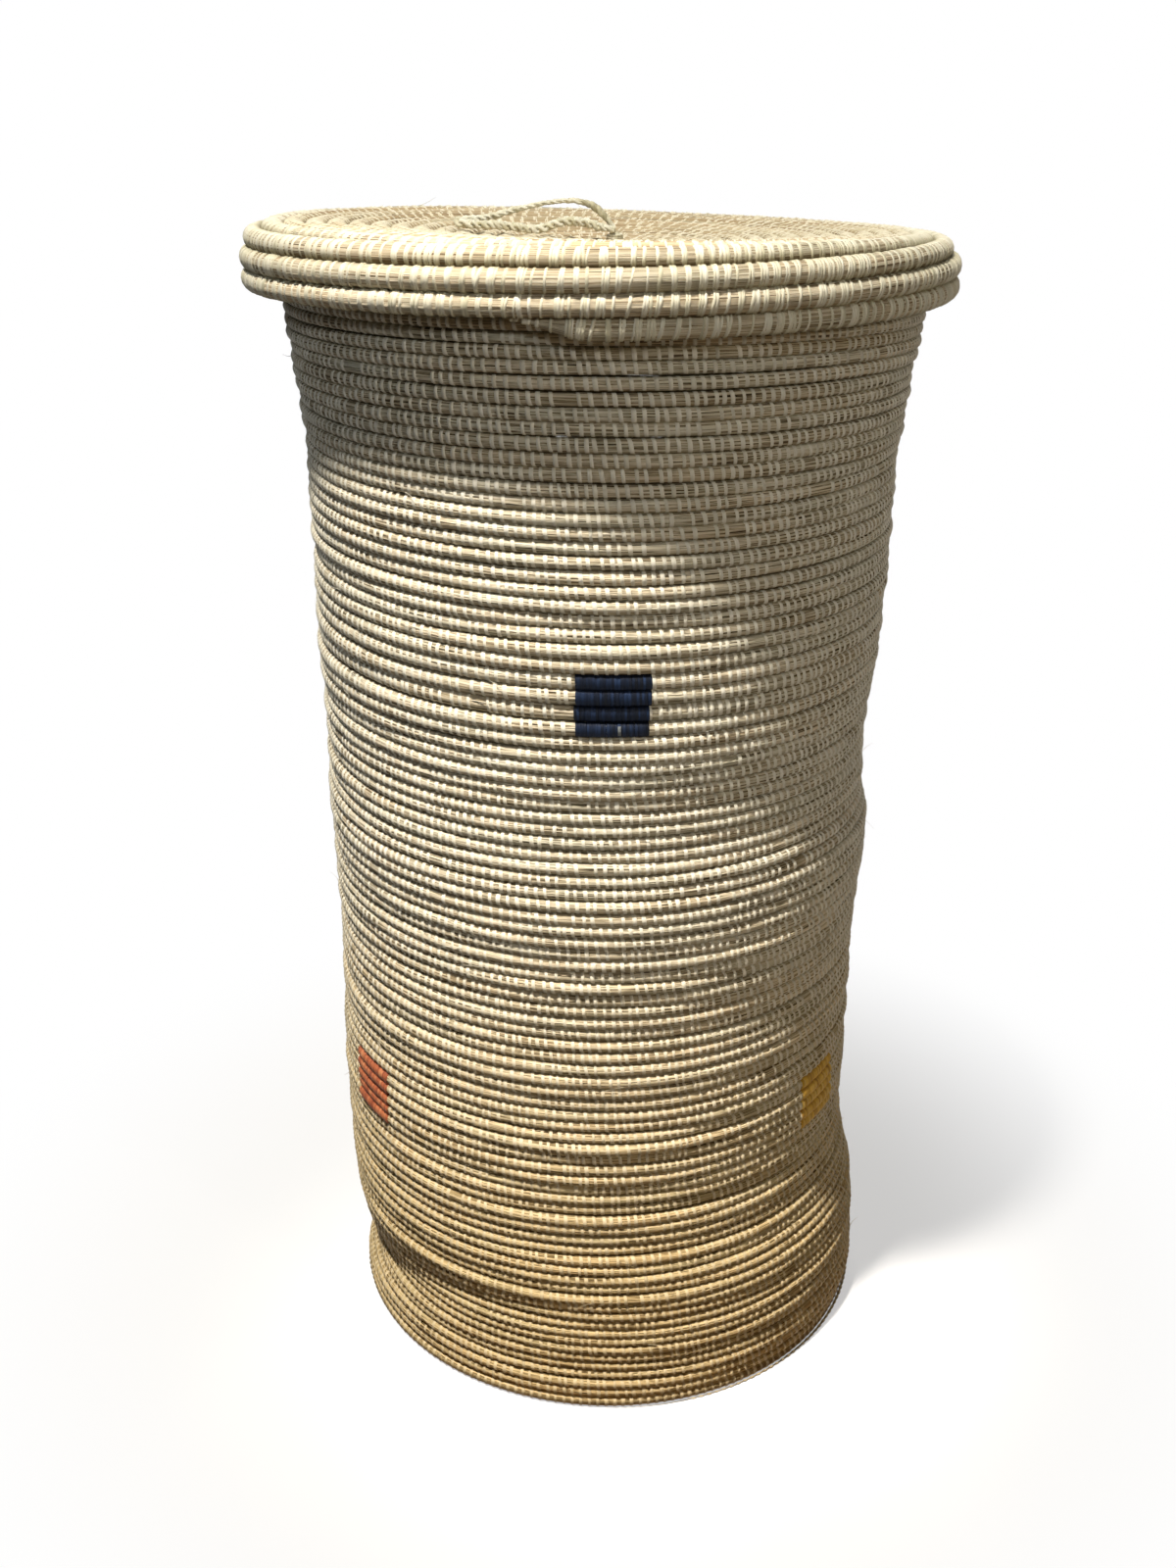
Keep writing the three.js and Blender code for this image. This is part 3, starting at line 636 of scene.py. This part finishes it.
# Screen colours from the darkest strip, which painted shade between rows reaches on sewn strips, to the
# palest, roughness, colour and share of the hairs, gloss, stain
STRIPS = {
    "wall strips": ([(0, 96, 87, 69), (0.3, 200, 195, 176), (0.6, 228, 223, 206), (1, 240, 236, 222)],
                    0.5, (166, 157, 134), 0.3, 0.55),
    "lid strips": ([(0, 112, 104, 82), (0.3, 190, 186, 160), (0.6, 224, 219, 196), (1, 242, 238, 222)],
                   0.48, (170, 158, 126), 0.45, 0.3),
    "lid top strips": ([(0, 130, 114, 86), (0.3, 206, 195, 165), (0.6, 228, 220, 194),
                        (1, 240, 234, 214)], 0.55, (170, 152, 114), 0.35, 0.2),
    "navy strips": ([(0, 3, 4, 7), (0.3, 8, 12, 20), (0.6, 18, 27, 44), (0.93, 38, 54, 82),
                     (1, 176, 178, 168)], 0.42, (5, 6, 10), 0.5, 0.14, (0.4, 0.45, 0.5)),
    "terracotta strips": ([(0, 72, 30, 18), (0.3, 144, 74, 48), (0.65, 202, 120, 82), (1, 232, 166, 126)],
                          0.5, (96, 44, 26), 0.5, 0.35),
    "ochre strips": ([(0, 84, 60, 18), (0.3, 186, 142, 48), (0.65, 240, 198, 80), (1, 248, 220, 128)],
                     0.5, (116, 84, 24), 0.4, 0.35),
    "handle cord": ([(0, 92, 82, 56), (0.45, 210, 205, 176), (1, 248, 246, 230)],
                    0.55, (118, 108, 76), 0.38, 0.35),
}
FINISHES = {name: straw_finish(name, *facts) for name, facts in STRAWS.items()}
FINISHES |= {name: strip_finish(name, *facts) for name, facts in STRIPS.items()}


def dress(piece, body, slot, *nodes):
    """Says which body a piece rides and the nodes that it stands for. Its slot is not used."""
    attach(piece, body)
    if nodes:
        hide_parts(*nodes)


def row_tone(turn, seed):
    """Slow change of shade along a bundle, from 0 to 1."""
    return np.clip(0.5 + waves(turn, [(1.7, 0.3, seed), (6.1, 0.22, seed + 1)]), 0, 1)


def in_a_patch(turn):
    """Which turns along the wall's coil fall inside a dyed square."""
    inside = np.zeros(turn.shape, dtype=bool)
    for _, azimuth, row, rows in PATCHES.values():
        for start, end in patch_spans(azimuth, row, rows):
            inside |= (turn > start) & (turn < end)
    return inside


def patch_spans(azimuth, row, rows):
    """The stretches of coil under a dyed square, one for each row, in turns. The rows' ends vary a little."""
    girth = 2 * math.pi * float(value_at(WALL_PROFILE, row_level(row)))
    half = (PATCH_WIDTH / 2 - PATCH_INSET) / girth
    middle = -azimuth / 360
    spans = []
    for k in range(rows):
        left, right = (hashed(row + k, azimuth, seed) * PATCH_RAGGED for seed in (21, 22))
        spans.append((row + k + middle - half - left, row + k + middle + half + right))
    return spans


# Outside and inside: the angles of a strip's points round the bundle's section, and the strip's own section
WALL_SEWING = {
    "wall_stitches_": ([-93, -62, -31, 0, 31, 62, 93], FLAT),
    "wall_inside_stitches_": ([110, 150, 210, 250], RIDGE),
}


def wall():
    """The wall's rows in bands, with their outer and inner stitches."""
    rng = np.random.default_rng(7)
    count = ROWS * STITCHES_PER_ROW
    turns = (np.arange(count) + 0.5 + rng.uniform(-STITCH_JITTER, STITCH_JITTER, count)) / STITCHES_PER_ROW
    turns += waves(turns, STITCH_DRIFT) / STITCHES_PER_ROW
    widths = rng.uniform(*STITCH_WIDTHS, count)
    slants = rng.normal(1.9, 0.8, count)
    tones = np.clip(0.3 * row_tone(turns, 31) + rng.beta(2.6, 2.2, count) * 0.66, 0, 1)
    prouds = rng.uniform(*STITCH_PROUDS, count)
    kept = ~in_a_patch(turns) & (rng.uniform(0, 1, count) > MISSING_STITCHES)
    kept &= (turns > 0.05) & (turns < ROWS - 0.05)
    for band in range(BANDS):
        low, high = ROWS * band / BANDS, ROWS * (band + 1) / BANDS
        name = str(band + 1)
        rows = np.linspace(low, high, round((high - low) * WALL_RINGS) + 1)
        coil = coil_piece("wall_rows_" + name, wall_row, rows, WALL_GIRTH, 12, FINISHES["wall straw"],
                          True, 33)
        dress(coil, "basket", "basket_straw", "wall_coil")
        here = kept & (turns >= low) & (turns < high)
        facts = [v[here] for v in (turns, widths, slants, tones, prouds)]
        for label, (degrees, profile) in WALL_SEWING.items():
            piece = strips_piece(label + name, FINISHES["wall strips"], np.radians(degrees), profile, *facts)
            dress(piece, "basket", "basket_straw")


def dyed_squares():
    """The squares of dyed strips, sewn side by side over four or five rows."""
    rng = np.random.default_rng(11)
    for name, (colour, azimuth, row, rows) in PATCHES.items():
        parts = []
        for start, end in patch_spans(azimuth, row, rows):
            count = round((end - start) * WALL_GIRTH / DYED_PITCH)
            places = np.arange(count) + 0.5 + rng.uniform(-0.2, 0.2, count)
            parts.append(start + (end - start) * places / count)
        turns = np.concatenate(parts)
        count = len(turns)
        piece = strips_piece(name + "_strips", FINISHES[colour + " strips"],
                             np.radians(np.arange(-90, 91, 30)), FLAT, turns, rng.uniform(1.9, 2.5, count),
                             rng.normal(0.3, 0.25, count), rng.beta(2, 2.2, count),
                             rng.uniform(0.5, 0.82, count))
        dress(piece, "basket", colour + "_stitching", name)


def base_length(turn):
    """The length of the base's ring at a turn, by the radius of the ring's middle."""
    radius = BASE_RADIUS - ROW_PITCH * (np.maximum(turn, 0) + 0.5)
    return 2 * math.pi * np.maximum(BASE_LEAST_RADIUS, radius)


def base():
    """The flat spiral under the basket and its stitches, seen from below and down inside."""
    rng = np.random.default_rng(13)
    last = float(wall_radius(0.0, 0)) / ROW_PITCH - 1.2
    rows = np.linspace(-1, last, int((last + 1) * BASE_RINGS))
    coil = coil_piece("base_rows", base_row, rows, SPIRAL_GIRTH, 10, FINISHES["wall straw"], True, 41)
    dress(coil, "basket", "basket_straw", "base_coil")
    turns = []
    place = -0.95
    while place < last - 0.02:
        turns.append(place)
        place += BASE_STITCH_STEP / base_length(place)
    turns = np.array(turns)
    count = len(turns)
    piece = ring_strips("base_stitches", base_row, turns, rng.uniform(2.0, 2.9, count), base_length(turns),
                        rng.normal(1.2, 0.4, count), np.radians(np.arange(0, 360, 45)),
                        FINISHES["wall strips"], rng.beta(2.4, 2.0, count),
                        rng.uniform(0.25, 0.45, count), True, SOFT)
    dress(piece, "basket", "basket_straw")


def lid_stitches(rng, low, high, spacing, bunch):
    """Places along the lid's coil for sewn strips: bunches of narrow strips, an uneven step apart."""
    turns, lengths = [], []
    place = low
    while place < high:
        radius = max(LID_LEAST_RADIUS, float(lid_profile(LID_PITCH * place)[0]))
        length = 2 * math.pi * radius
        for k in range(rng.integers(bunch[0], bunch[1] + 1)):
            turns.append(place + k * rng.uniform(*BUNCH_STEP) / length)
            lengths.append(length)
        place += rng.uniform(*spacing) / length
    return np.array(turns), np.array(lengths)


# Finish, spacing, strips in a bunch, widths, slant, degrees between a strip's points, the bell of its shades,
# how far it stands out, section
LID_SEWING = {
    "lid_skirt_stitches": ("lid strips", (5.4, 7.4), (1, 3), (1.3, 2.4), 0.8, 22.5, (3, 1.8), (0.3, 0.7),
                           SOFT),
    "lid_top_stitches": ("lid top strips", (6.2, 9.5), (1, 2), (1.5, 2.6), 4.2, 36, (2.6, 2), (0.35, 0.7),
                         RIDGE),
}


def lid():
    """The lid: a fine-ridged bundle round the skirt, a plainer one over the top, and their sewn strips."""
    rng = np.random.default_rng(17)
    edge = SKIRT_TURNS + SKIRT_OVERRUN
    sewn_edge = edge + SEWING_OVERRUN
    girth = 2 * math.pi * SKIRT_RADIUS
    skirt_turns = np.linspace(TAIL_SPAN[0], edge, int(edge * girth / SKIRT_STEP))
    skirt = coil_piece("lid_skirt_bundle", lid_row, skirt_turns, girth, 40, FINISHES["lid straw"], False,
                       51, straws=0.2)
    dress(skirt, "lid", "lid_straw", "lid_skirt_coil")
    top_turns = np.linspace(edge, LID_TURNS + COIL_RUN_ON, LID_TOP_RINGS)
    top = coil_piece("lid_top_bundle", lid_row, top_turns, SPIRAL_GIRTH, 16, FINISHES["lid top straw"],
                     False, 53)
    dress(top, "lid", "lid_straw", "lid_top_coil")

    sewn = [(TAIL_SPAN[0] + 0.004, sewn_edge), (sewn_edge, LID_TURNS - 0.05)]
    for (low, high), (name, facts) in zip(sewn, LID_SEWING.items()):
        finish, spacing, bunch, widths, slant, step, shades, prouds, profile = facts
        turns, lengths = lid_stitches(rng, low, high, spacing, bunch)
        count = len(turns)
        piece = ring_strips(name, lid_row, turns, rng.uniform(*widths, count), lengths,
                            rng.normal(slant, 0.8, count), np.radians(np.arange(0, 360, step)),
                            FINISHES[finish], rng.beta(*shades, count), rng.uniform(*prouds, count), False,
                            profile)
        dress(piece, "lid", "lid_straw")


def along_route(route, count):
    """Points at even steps along a smooth curve through a route: a four-point spline between its points."""
    ends = np.concatenate([[2 * route[0] - route[1]], route, [2 * route[-1] - route[-2]]])
    t = np.linspace(0, 1, 24, endpoint=False)[:, None]
    pieces = []
    for a, b, c, d in zip(ends[:-3], ends[1:-2], ends[2:-1], ends[3:]):
        pieces.append(0.5 * (2 * b + (c - a) * t + (2 * a - 5 * b + 4 * c - d) * t ** 2
                             + (3 * b - a - 3 * c + d) * t ** 3))
    fine = np.concatenate(pieces + [route[-1:]])
    run = run_along(fine)
    even = np.linspace(0, run[-1], count)
    return np.stack([np.interp(even, run, fine[:, k]) for k in range(3)], -1), even


def run_along(points):
    """How far along a line each of its points lies."""
    return np.concatenate([[0], np.cumsum(np.linalg.norm(np.diff(points, axis=0), axis=1))])


def unit(vectors):
    """The same directions with length 1."""
    return vectors / np.linalg.norm(vectors, axis=-1, keepdims=True)


def frames_along(middle, side_hint):
    """Side and up directions at each point of a line: the side is the hint less its part along the line."""
    ahead = unit(np.gradient(middle, axis=0))
    side = unit(side_hint - ahead * np.sum(ahead * side_hint, axis=1, keepdims=True))
    return side, np.cross(ahead, side)


def strand_points(middle, wide, tall, side_hint, sides):
    """Oval sections square to a line."""
    side, up = frames_along(middle, side_hint)
    wide, tall = (np.broadcast_to(half, len(middle)) for half in (wide, tall))
    angle = np.arange(sides) / sides * 2 * math.pi
    return (middle[:, None] + side[:, None] * (wide[:, None] * np.cos(angle))[..., None]
            + up[:, None] * (tall[:, None] * np.sin(angle))[..., None])


def strands_piece(name, lines, finish, tones, sides=10):
    """Several strands in one mesh: each line is (middle, half width, half height, side hint)."""
    points, quads, uvs, tone, caps = [], [], [], [], []
    start = 0
    for (middle, wide, tall, hint), shade in zip(lines, tones):
        count = len(middle)
        points.append(strand_points(middle, wide, tall, hint, sides).reshape(-1, 3))
        quads.append(grid_quads(1, count, sides, wrap_across=True) + start)
        run = run_along(middle) * MM
        u, v = np.meshgrid(run, np.arange(sides) / sides * 8 * MM, indexing="ij")
        uvs.append(np.stack([v + np.mean(shade), u * 0.5], -1).reshape(-1, 2))
        flats = 0.22 * noise(run * 240, np.arange(sides)[:, None] / sides * 4, 61)
        tone.append((np.broadcast_to(shade, count) + flats).T.ravel())
        caps += [np.arange(sides)[::-1] + start, np.arange((count - 1) * sides, count * sides) + start]
        start += count * sides
    return build_mesh(name, np.concatenate(points), np.concatenate(quads), finish, np.concatenate(uvs),
                      np.clip(np.concatenate(tone), 0, 1), caps)


def handle():
    """The cord: three flattened strands plaited round the route. Each swings sideways by a sine of its run,
    and up by a sine twice as fast, and the swing is wider along the low run."""
    middle, run = along_route(HANDLE_ROUTE, 260)
    middle = lean(middle + PIVOT, LID_TILT)
    share = run / run[-1]
    low = smooth_step(*LOW_START, share)
    ends = np.minimum(smooth_step(0, CORD_END, share), smooth_step(1, 1 - CORD_END, share))
    hint = np.array([0.0, 1.0, 0.0])
    side, up = frames_along(middle, hint)
    right_end = np.exp(-(((share - RIGHT_END[0]) / RIGHT_END[1]) ** 2))
    left_end = smooth_step(*ARCH_FALL, share) * (1 - low)
    swing, thick = (plain + left * left_end + right * right_end + along_low * low
                    for plain, left, right, along_low in (CORD_SWING, CORD_FAT))
    swing = swing * (0.4 + 0.6 * ends)
    phase = 2 * math.pi * run / CORD_LAY + 0.9 * noise(run / 9, 0, 63)
    middle = middle + hint * (0.9 * low * ends * noise(run / 8, 0, 64))[:, None]
    lines, tones = [], []
    for k in range(3):
        turned = phase + 2 * math.pi * k / 3
        offset = side * (swing * np.sin(turned))[:, None] + up * (0.75 * swing * np.sin(2 * turned))[:, None]
        uneven = 1 + 0.28 * noise(run / 3.4, k, 62) + 0.3 * left_end * noise(run / 4.2, k, 65)
        fat = thick * uneven
        lines.append((middle + offset, fat, fat * STRAND_FLATNESS, (0.1, 1, 0.3)))
        tones.append(0.6 + 0.12 * k - 0.46 * right_end)
    piece = strands_piece("handle_braid", lines, FINISHES["handle cord"], tones)
    dress(piece, "handle", "handle_cord", "handle_loop")


def handle_tie():
    """The cord's way through the lid: a whipping of three turns above, two strands down in a slow twist, then
    a trefoil knot and two cut ends below."""
    top = PIVOT[2] - 4.4
    under = LID_TOP_MIDDLE - LID_DISH - LID_HEIGHT / 2
    t = np.linspace(0, WHIP_TURNS, 150)
    whip = np.stack([WHIP_RADIUS * np.cos(2 * math.pi * t), WHIP_RADIUS * np.sin(2 * math.pi * t),
                     top - 2.6 + WHIP_RISE * t], -1)
    lines = [(whip, 1.0, 0.85, (0, 0, 1))]
    for way in (-1, 1):
        drop = np.linspace(0, 1, 40)
        x = way * TIE_ASIDE * np.cos(drop * TIE_TWIST)
        y = way * TIE_ASIDE * np.sin(drop * TIE_TWIST)
        shaft = np.stack([x, y, top + 2.2 - drop * (top + 2.2 - under + 3)], -1)
        lines.append((shaft, 1.6, 1.5, (1, 0.2, 0)))
    k = np.linspace(0, 2 * math.pi, 160)
    knot = [np.sin(k) + 2 * np.sin(2 * k), np.cos(k) - 2 * np.cos(2 * k), -1.1 * np.sin(3 * k)]
    knot = np.stack(knot, -1) * KNOT_SIZE
    knot[:, 2] += under - KNOT_DROP
    lines.append((knot, 2.0, 1.7, (0.2, 0.1, 1)))
    for way in (-1, 1):
        drop = np.linspace(0, 1, 24)
        tail = np.stack([way * (2 + 4 * drop ** 1.6), 1.5 * drop, under - 7 - 9 * drop], -1)
        lines.append((tail, 1.5 - 0.5 * drop, 1.2 - 0.5 * drop, (0, 1, 0.2)))
    lines = [(lean(middle + [LID_START_ASIDE, 0, 0], LID_TILT), *rest) for middle, *rest in lines]
    tones = [0.6, 0.4, 0.5, 0.45, 0.5, 0.4]
    piece = strands_piece("handle_whipping_and_knot", lines, FINISHES["handle cord"], tones)
    dress(piece, "lid", "handle_cord", "handle_tie")


def stray_fibres(name, surface, rng, count, low, high, body, slot, finish, size):
    """Loose ends that stand away from a bundle: each runs off along the row, rises by a power of its way and
    tapers to a point."""
    turns = rng.uniform(low, high, count)
    angles = rng.normal(0.1, 0.55, count)
    lengths = rng.uniform(*size, count)
    way = rng.choice([-1, 1], count)
    steps = np.linspace(0, 1, FIBRE_STEPS)
    rise = rng.uniform(0.12, 0.5, count)[:, None] * lengths[:, None] * steps ** 1.7
    radius = np.maximum(12, np.linalg.norm(surface(turns, angles)[:, :2], axis=1))
    t = turns[:, None] + way[:, None] * lengths[:, None] * steps / (2 * math.pi * radius[:, None])
    drop = angles[:, None] + rng.normal(0, 0.5, count)[:, None] * steps ** 2
    middle = surface(t, drop, rise)
    ahead = unit(np.gradient(middle, axis=1))
    side = unit(np.cross(ahead, (0.1, 0.2, 1.0)))
    up = np.cross(ahead, side)
    angle = np.arange(FIBRE_SIDES) / FIBRE_SIDES * 2 * math.pi
    thick = (FIBRE_THICK * (1 - FIBRE_TAPER * steps))[None, :, None, None]
    ring = side[:, :, None] * np.cos(angle)[:, None] + up[:, :, None] * np.sin(angle)[:, None]
    points = middle[:, :, None] + ring * thick
    tone = np.broadcast_to(rng.uniform(0.3, 1, count)[:, None, None], points.shape[:3])
    uv = np.stack(np.broadcast_arrays(np.arange(FIBRE_SIDES) * 0.001, steps[:, None] * 0.02), -1)
    uv = np.broadcast_to(uv, (count, *uv.shape))
    quads = grid_quads(count, FIBRE_STEPS, FIBRE_SIDES, wrap_across=True)
    root = (np.arange(count) * FIBRE_STEPS * FIBRE_SIDES)[:, None] + np.arange(FIBRE_SIDES)
    caps = list(root[:, ::-1]) + list(root + (FIBRE_STEPS - 1) * FIBRE_SIDES)
    piece = build_mesh(name, points, quads, finish, uv, tone, caps)
    dress(piece, body, slot)


# Camera: the photograph's angle, from the fit of the rows and the outline
CAMERA_PLACE = (-0.00705, -1.0298, 0.8044)
CAMERA_DOWN = math.radians(23.47)
FOCAL_PIXELS = 1783.3
PHOTO_HEIGHT = 1600


def camera():
    """Looks straight back and down from its fitted place, with the fitted focal length over the long side."""
    data = bpy.data.cameras.new("view")
    data.sensor_width = 36
    data.lens = data.sensor_width * FOCAL_PIXELS / PHOTO_HEIGHT
    data.clip_end = 50
    bpy.context.scene.camera = put("view", data, CAMERA_PLACE, (math.pi / 2 - CAMERA_DOWN, 0, 0))


def disk(metres):
    """A soft round lamp of a width."""
    return "AREA", {"shape": "DISK", "size": metres}


def beam(degrees, bulb):
    """A spot of an angle, from a bulb of a width, that fades all the way to its edge."""
    return "SPOT", {"spot_size": math.radians(degrees), "spot_blend": 1.0, "shadow_soft_size": bulb}


KEY_PLACE = (-0.782, -1.077, 4.231)
# Form, place, aim, watts, colour
LAMPS = {
    "key": (disk(0.3), KEY_PLACE, (0, 0, 0.4), 175, (1, 0.97, 0.91)),
    "wall beam": (beam(6.3, 0.12), KEY_PLACE, (-0.075, -0.205, 0.48), 920, (1, 0.91, 0.82)),
    "lid beam": (beam(3.1, 0.12), KEY_PLACE, (0.01, -0.21, 0.68), 720, (1, 0.94, 0.88)),
    "front fill": (beam(8.5, 0.3), (-0.3, -2.9, 2.2), (-0.07, -0.19, 0.58), 200, (0.9, 0.95, 1)),
    "side fill": (beam(11, 0.5), (2.1, -2.1, 1.5), (0.06, 0, 0.52), 340, (1, 0.9, 0.76)),
    "back fill": (disk(1.4), (0.3, 2.9, 1.1), (0, 0, 0.4), 38, (1, 0.97, 0.93)),
    "low": (disk(0.6), (0.45, -1.1, 0.25), (0.03, 0, 0.05), 0.7, (1, 0.58, 0.15)),
}
WHITE = (1, 1, 1, 1)
SKY_COLOUR = (0.96, 0.98, 0.96, 1)
SKY_LEVEL = 0.024
# The floor as seen near the object, and what it sends back near the object and far off
FLOOR_SEEN = (0.88, 0.875, 0.865, 1)
FLOOR_NEAR = (0.1, 0.05, 0.012, 1)
FLOOR_FAR = (0.05, 0.05, 0.05, 1)
# Distances from the middle, in metres, between which the floor turns white
FLOOR_FADE = (0.2, 0.52)
FLOOR_HALF = 30000
FLOOR_DROP = 0.2


def lamp(name, form, place, target, power, colour):
    """A lamp turned towards its target: by the fall to it from straight down, then round."""
    kind, settings = form
    data = bpy.data.lights.new(name, kind)
    data.energy = power
    data.color = colour
    for key, value in settings.items():
        setattr(data, key, value)
    x, y, z = np.array(target) - np.array(place)
    put(name, data, place, (math.atan2(math.hypot(x, y), -z), 0, math.atan2(-x, y)))


def seen(finish):
    """1 for what the camera sees, straight, mirrored or through something clear."""
    names = ("Is Camera Ray", "Is Glossy Ray", "Is Transmission Ray")
    straight, mirrored, through = [finish.node("ShaderNodeLightPath", output=name) for name in names]
    return finish.node("ShaderNodeMath", {"operation": "MINIMUM"}, {0: straight + mirrored + through, 1: 1.0})


def floor():
    """A pale floor that turns white far off. What it sends back is dim, and golden near the object."""
    finish = Finish(bpy.data.materials.new("floor"))
    place = finish.node("ShaderNodeTexCoord", output=3)
    away = finish.node("ShaderNodeVectorMath", {"operation": "LENGTH"}, {0: place}, 1)
    share = finish.node("ShaderNodeMapRange", {"interpolation_type": "SMOOTHSTEP"}, {
        "Value": away, "From Min": FLOOR_FADE[0], "From Max": FLOOR_FADE[1], "To Min": 0.5, "To Max": 1.0})
    lit = finish.node("ShaderNodeBsdfDiffuse", {}, {0: FLOOR_SEEN})
    white = finish.node("ShaderNodeEmission", {}, {0: WHITE})
    pale = finish.node("ShaderNodeMixShader", {}, {0: share, 1: lit, 2: white})
    near = finish.node("ShaderNodeBsdfDiffuse", {}, {0: FLOOR_NEAR})
    far = finish.node("ShaderNodeBsdfDiffuse", {}, {0: FLOOR_FAR})
    dim = finish.node("ShaderNodeMixShader", {}, {0: share * 2 - 1, 1: near, 2: far})
    finish.close(finish.node("ShaderNodeMixShader", {}, {0: seen(finish), 1: dim, 2: pale}))
    corners = np.array([[-1, -1, 0], [1, -1, 0], [1, 1, 0], [-1, 1, 0]]) * FLOOR_HALF
    corners = corners - [0, 0, FLOOR_DROP]
    ground = build_mesh("floor", corners, np.array([[0, 1, 2, 3]]), finish.owner)


def studio():
    """The floor, and a sky that is white to the camera alone. The key is high on the left, with two beams
    along its rays, for the wall and the lid's edge. Weak fills come from in front, right, behind and low."""
    scene = bpy.context.scene
    scene.view_settings.view_transform = "Standard"
    floor()
    world = bpy.data.worlds.new("sky")
    sky = Finish(world)
    dim = sky.node("ShaderNodeBackground", {}, {0: SKY_COLOUR, 1: SKY_LEVEL})
    white = sky.node("ShaderNodeBackground", {}, {0: WHITE, 1: 1.0})
    sky.close(sky.node("ShaderNodeMixShader", {}, {0: seen(sky), 1: dim, 2: white}), "ShaderNodeOutputWorld")
    scene.world = world
    for name, (form, *facts) in LAMPS.items():
        lamp(name, form, *facts)


camera()
studio()
wall()
dyed_squares()
base()
lid()
handle()
handle_tie()
strays = np.random.default_rng(23)
stray_fibres("wall_loose_fibres", wall_row, strays, 170, 2, ROWS - 3, "basket", "basket_straw",
             FINISHES["wall strips"], (7, 20))
stray_fibres("lid_loose_fibres", lid_row, strays, 60, 0.1, LID_TURNS - 4, "lid", "lid_straw",
             FINISHES["lid strips"], (7, 18))

bpy.context.view_layer.update()
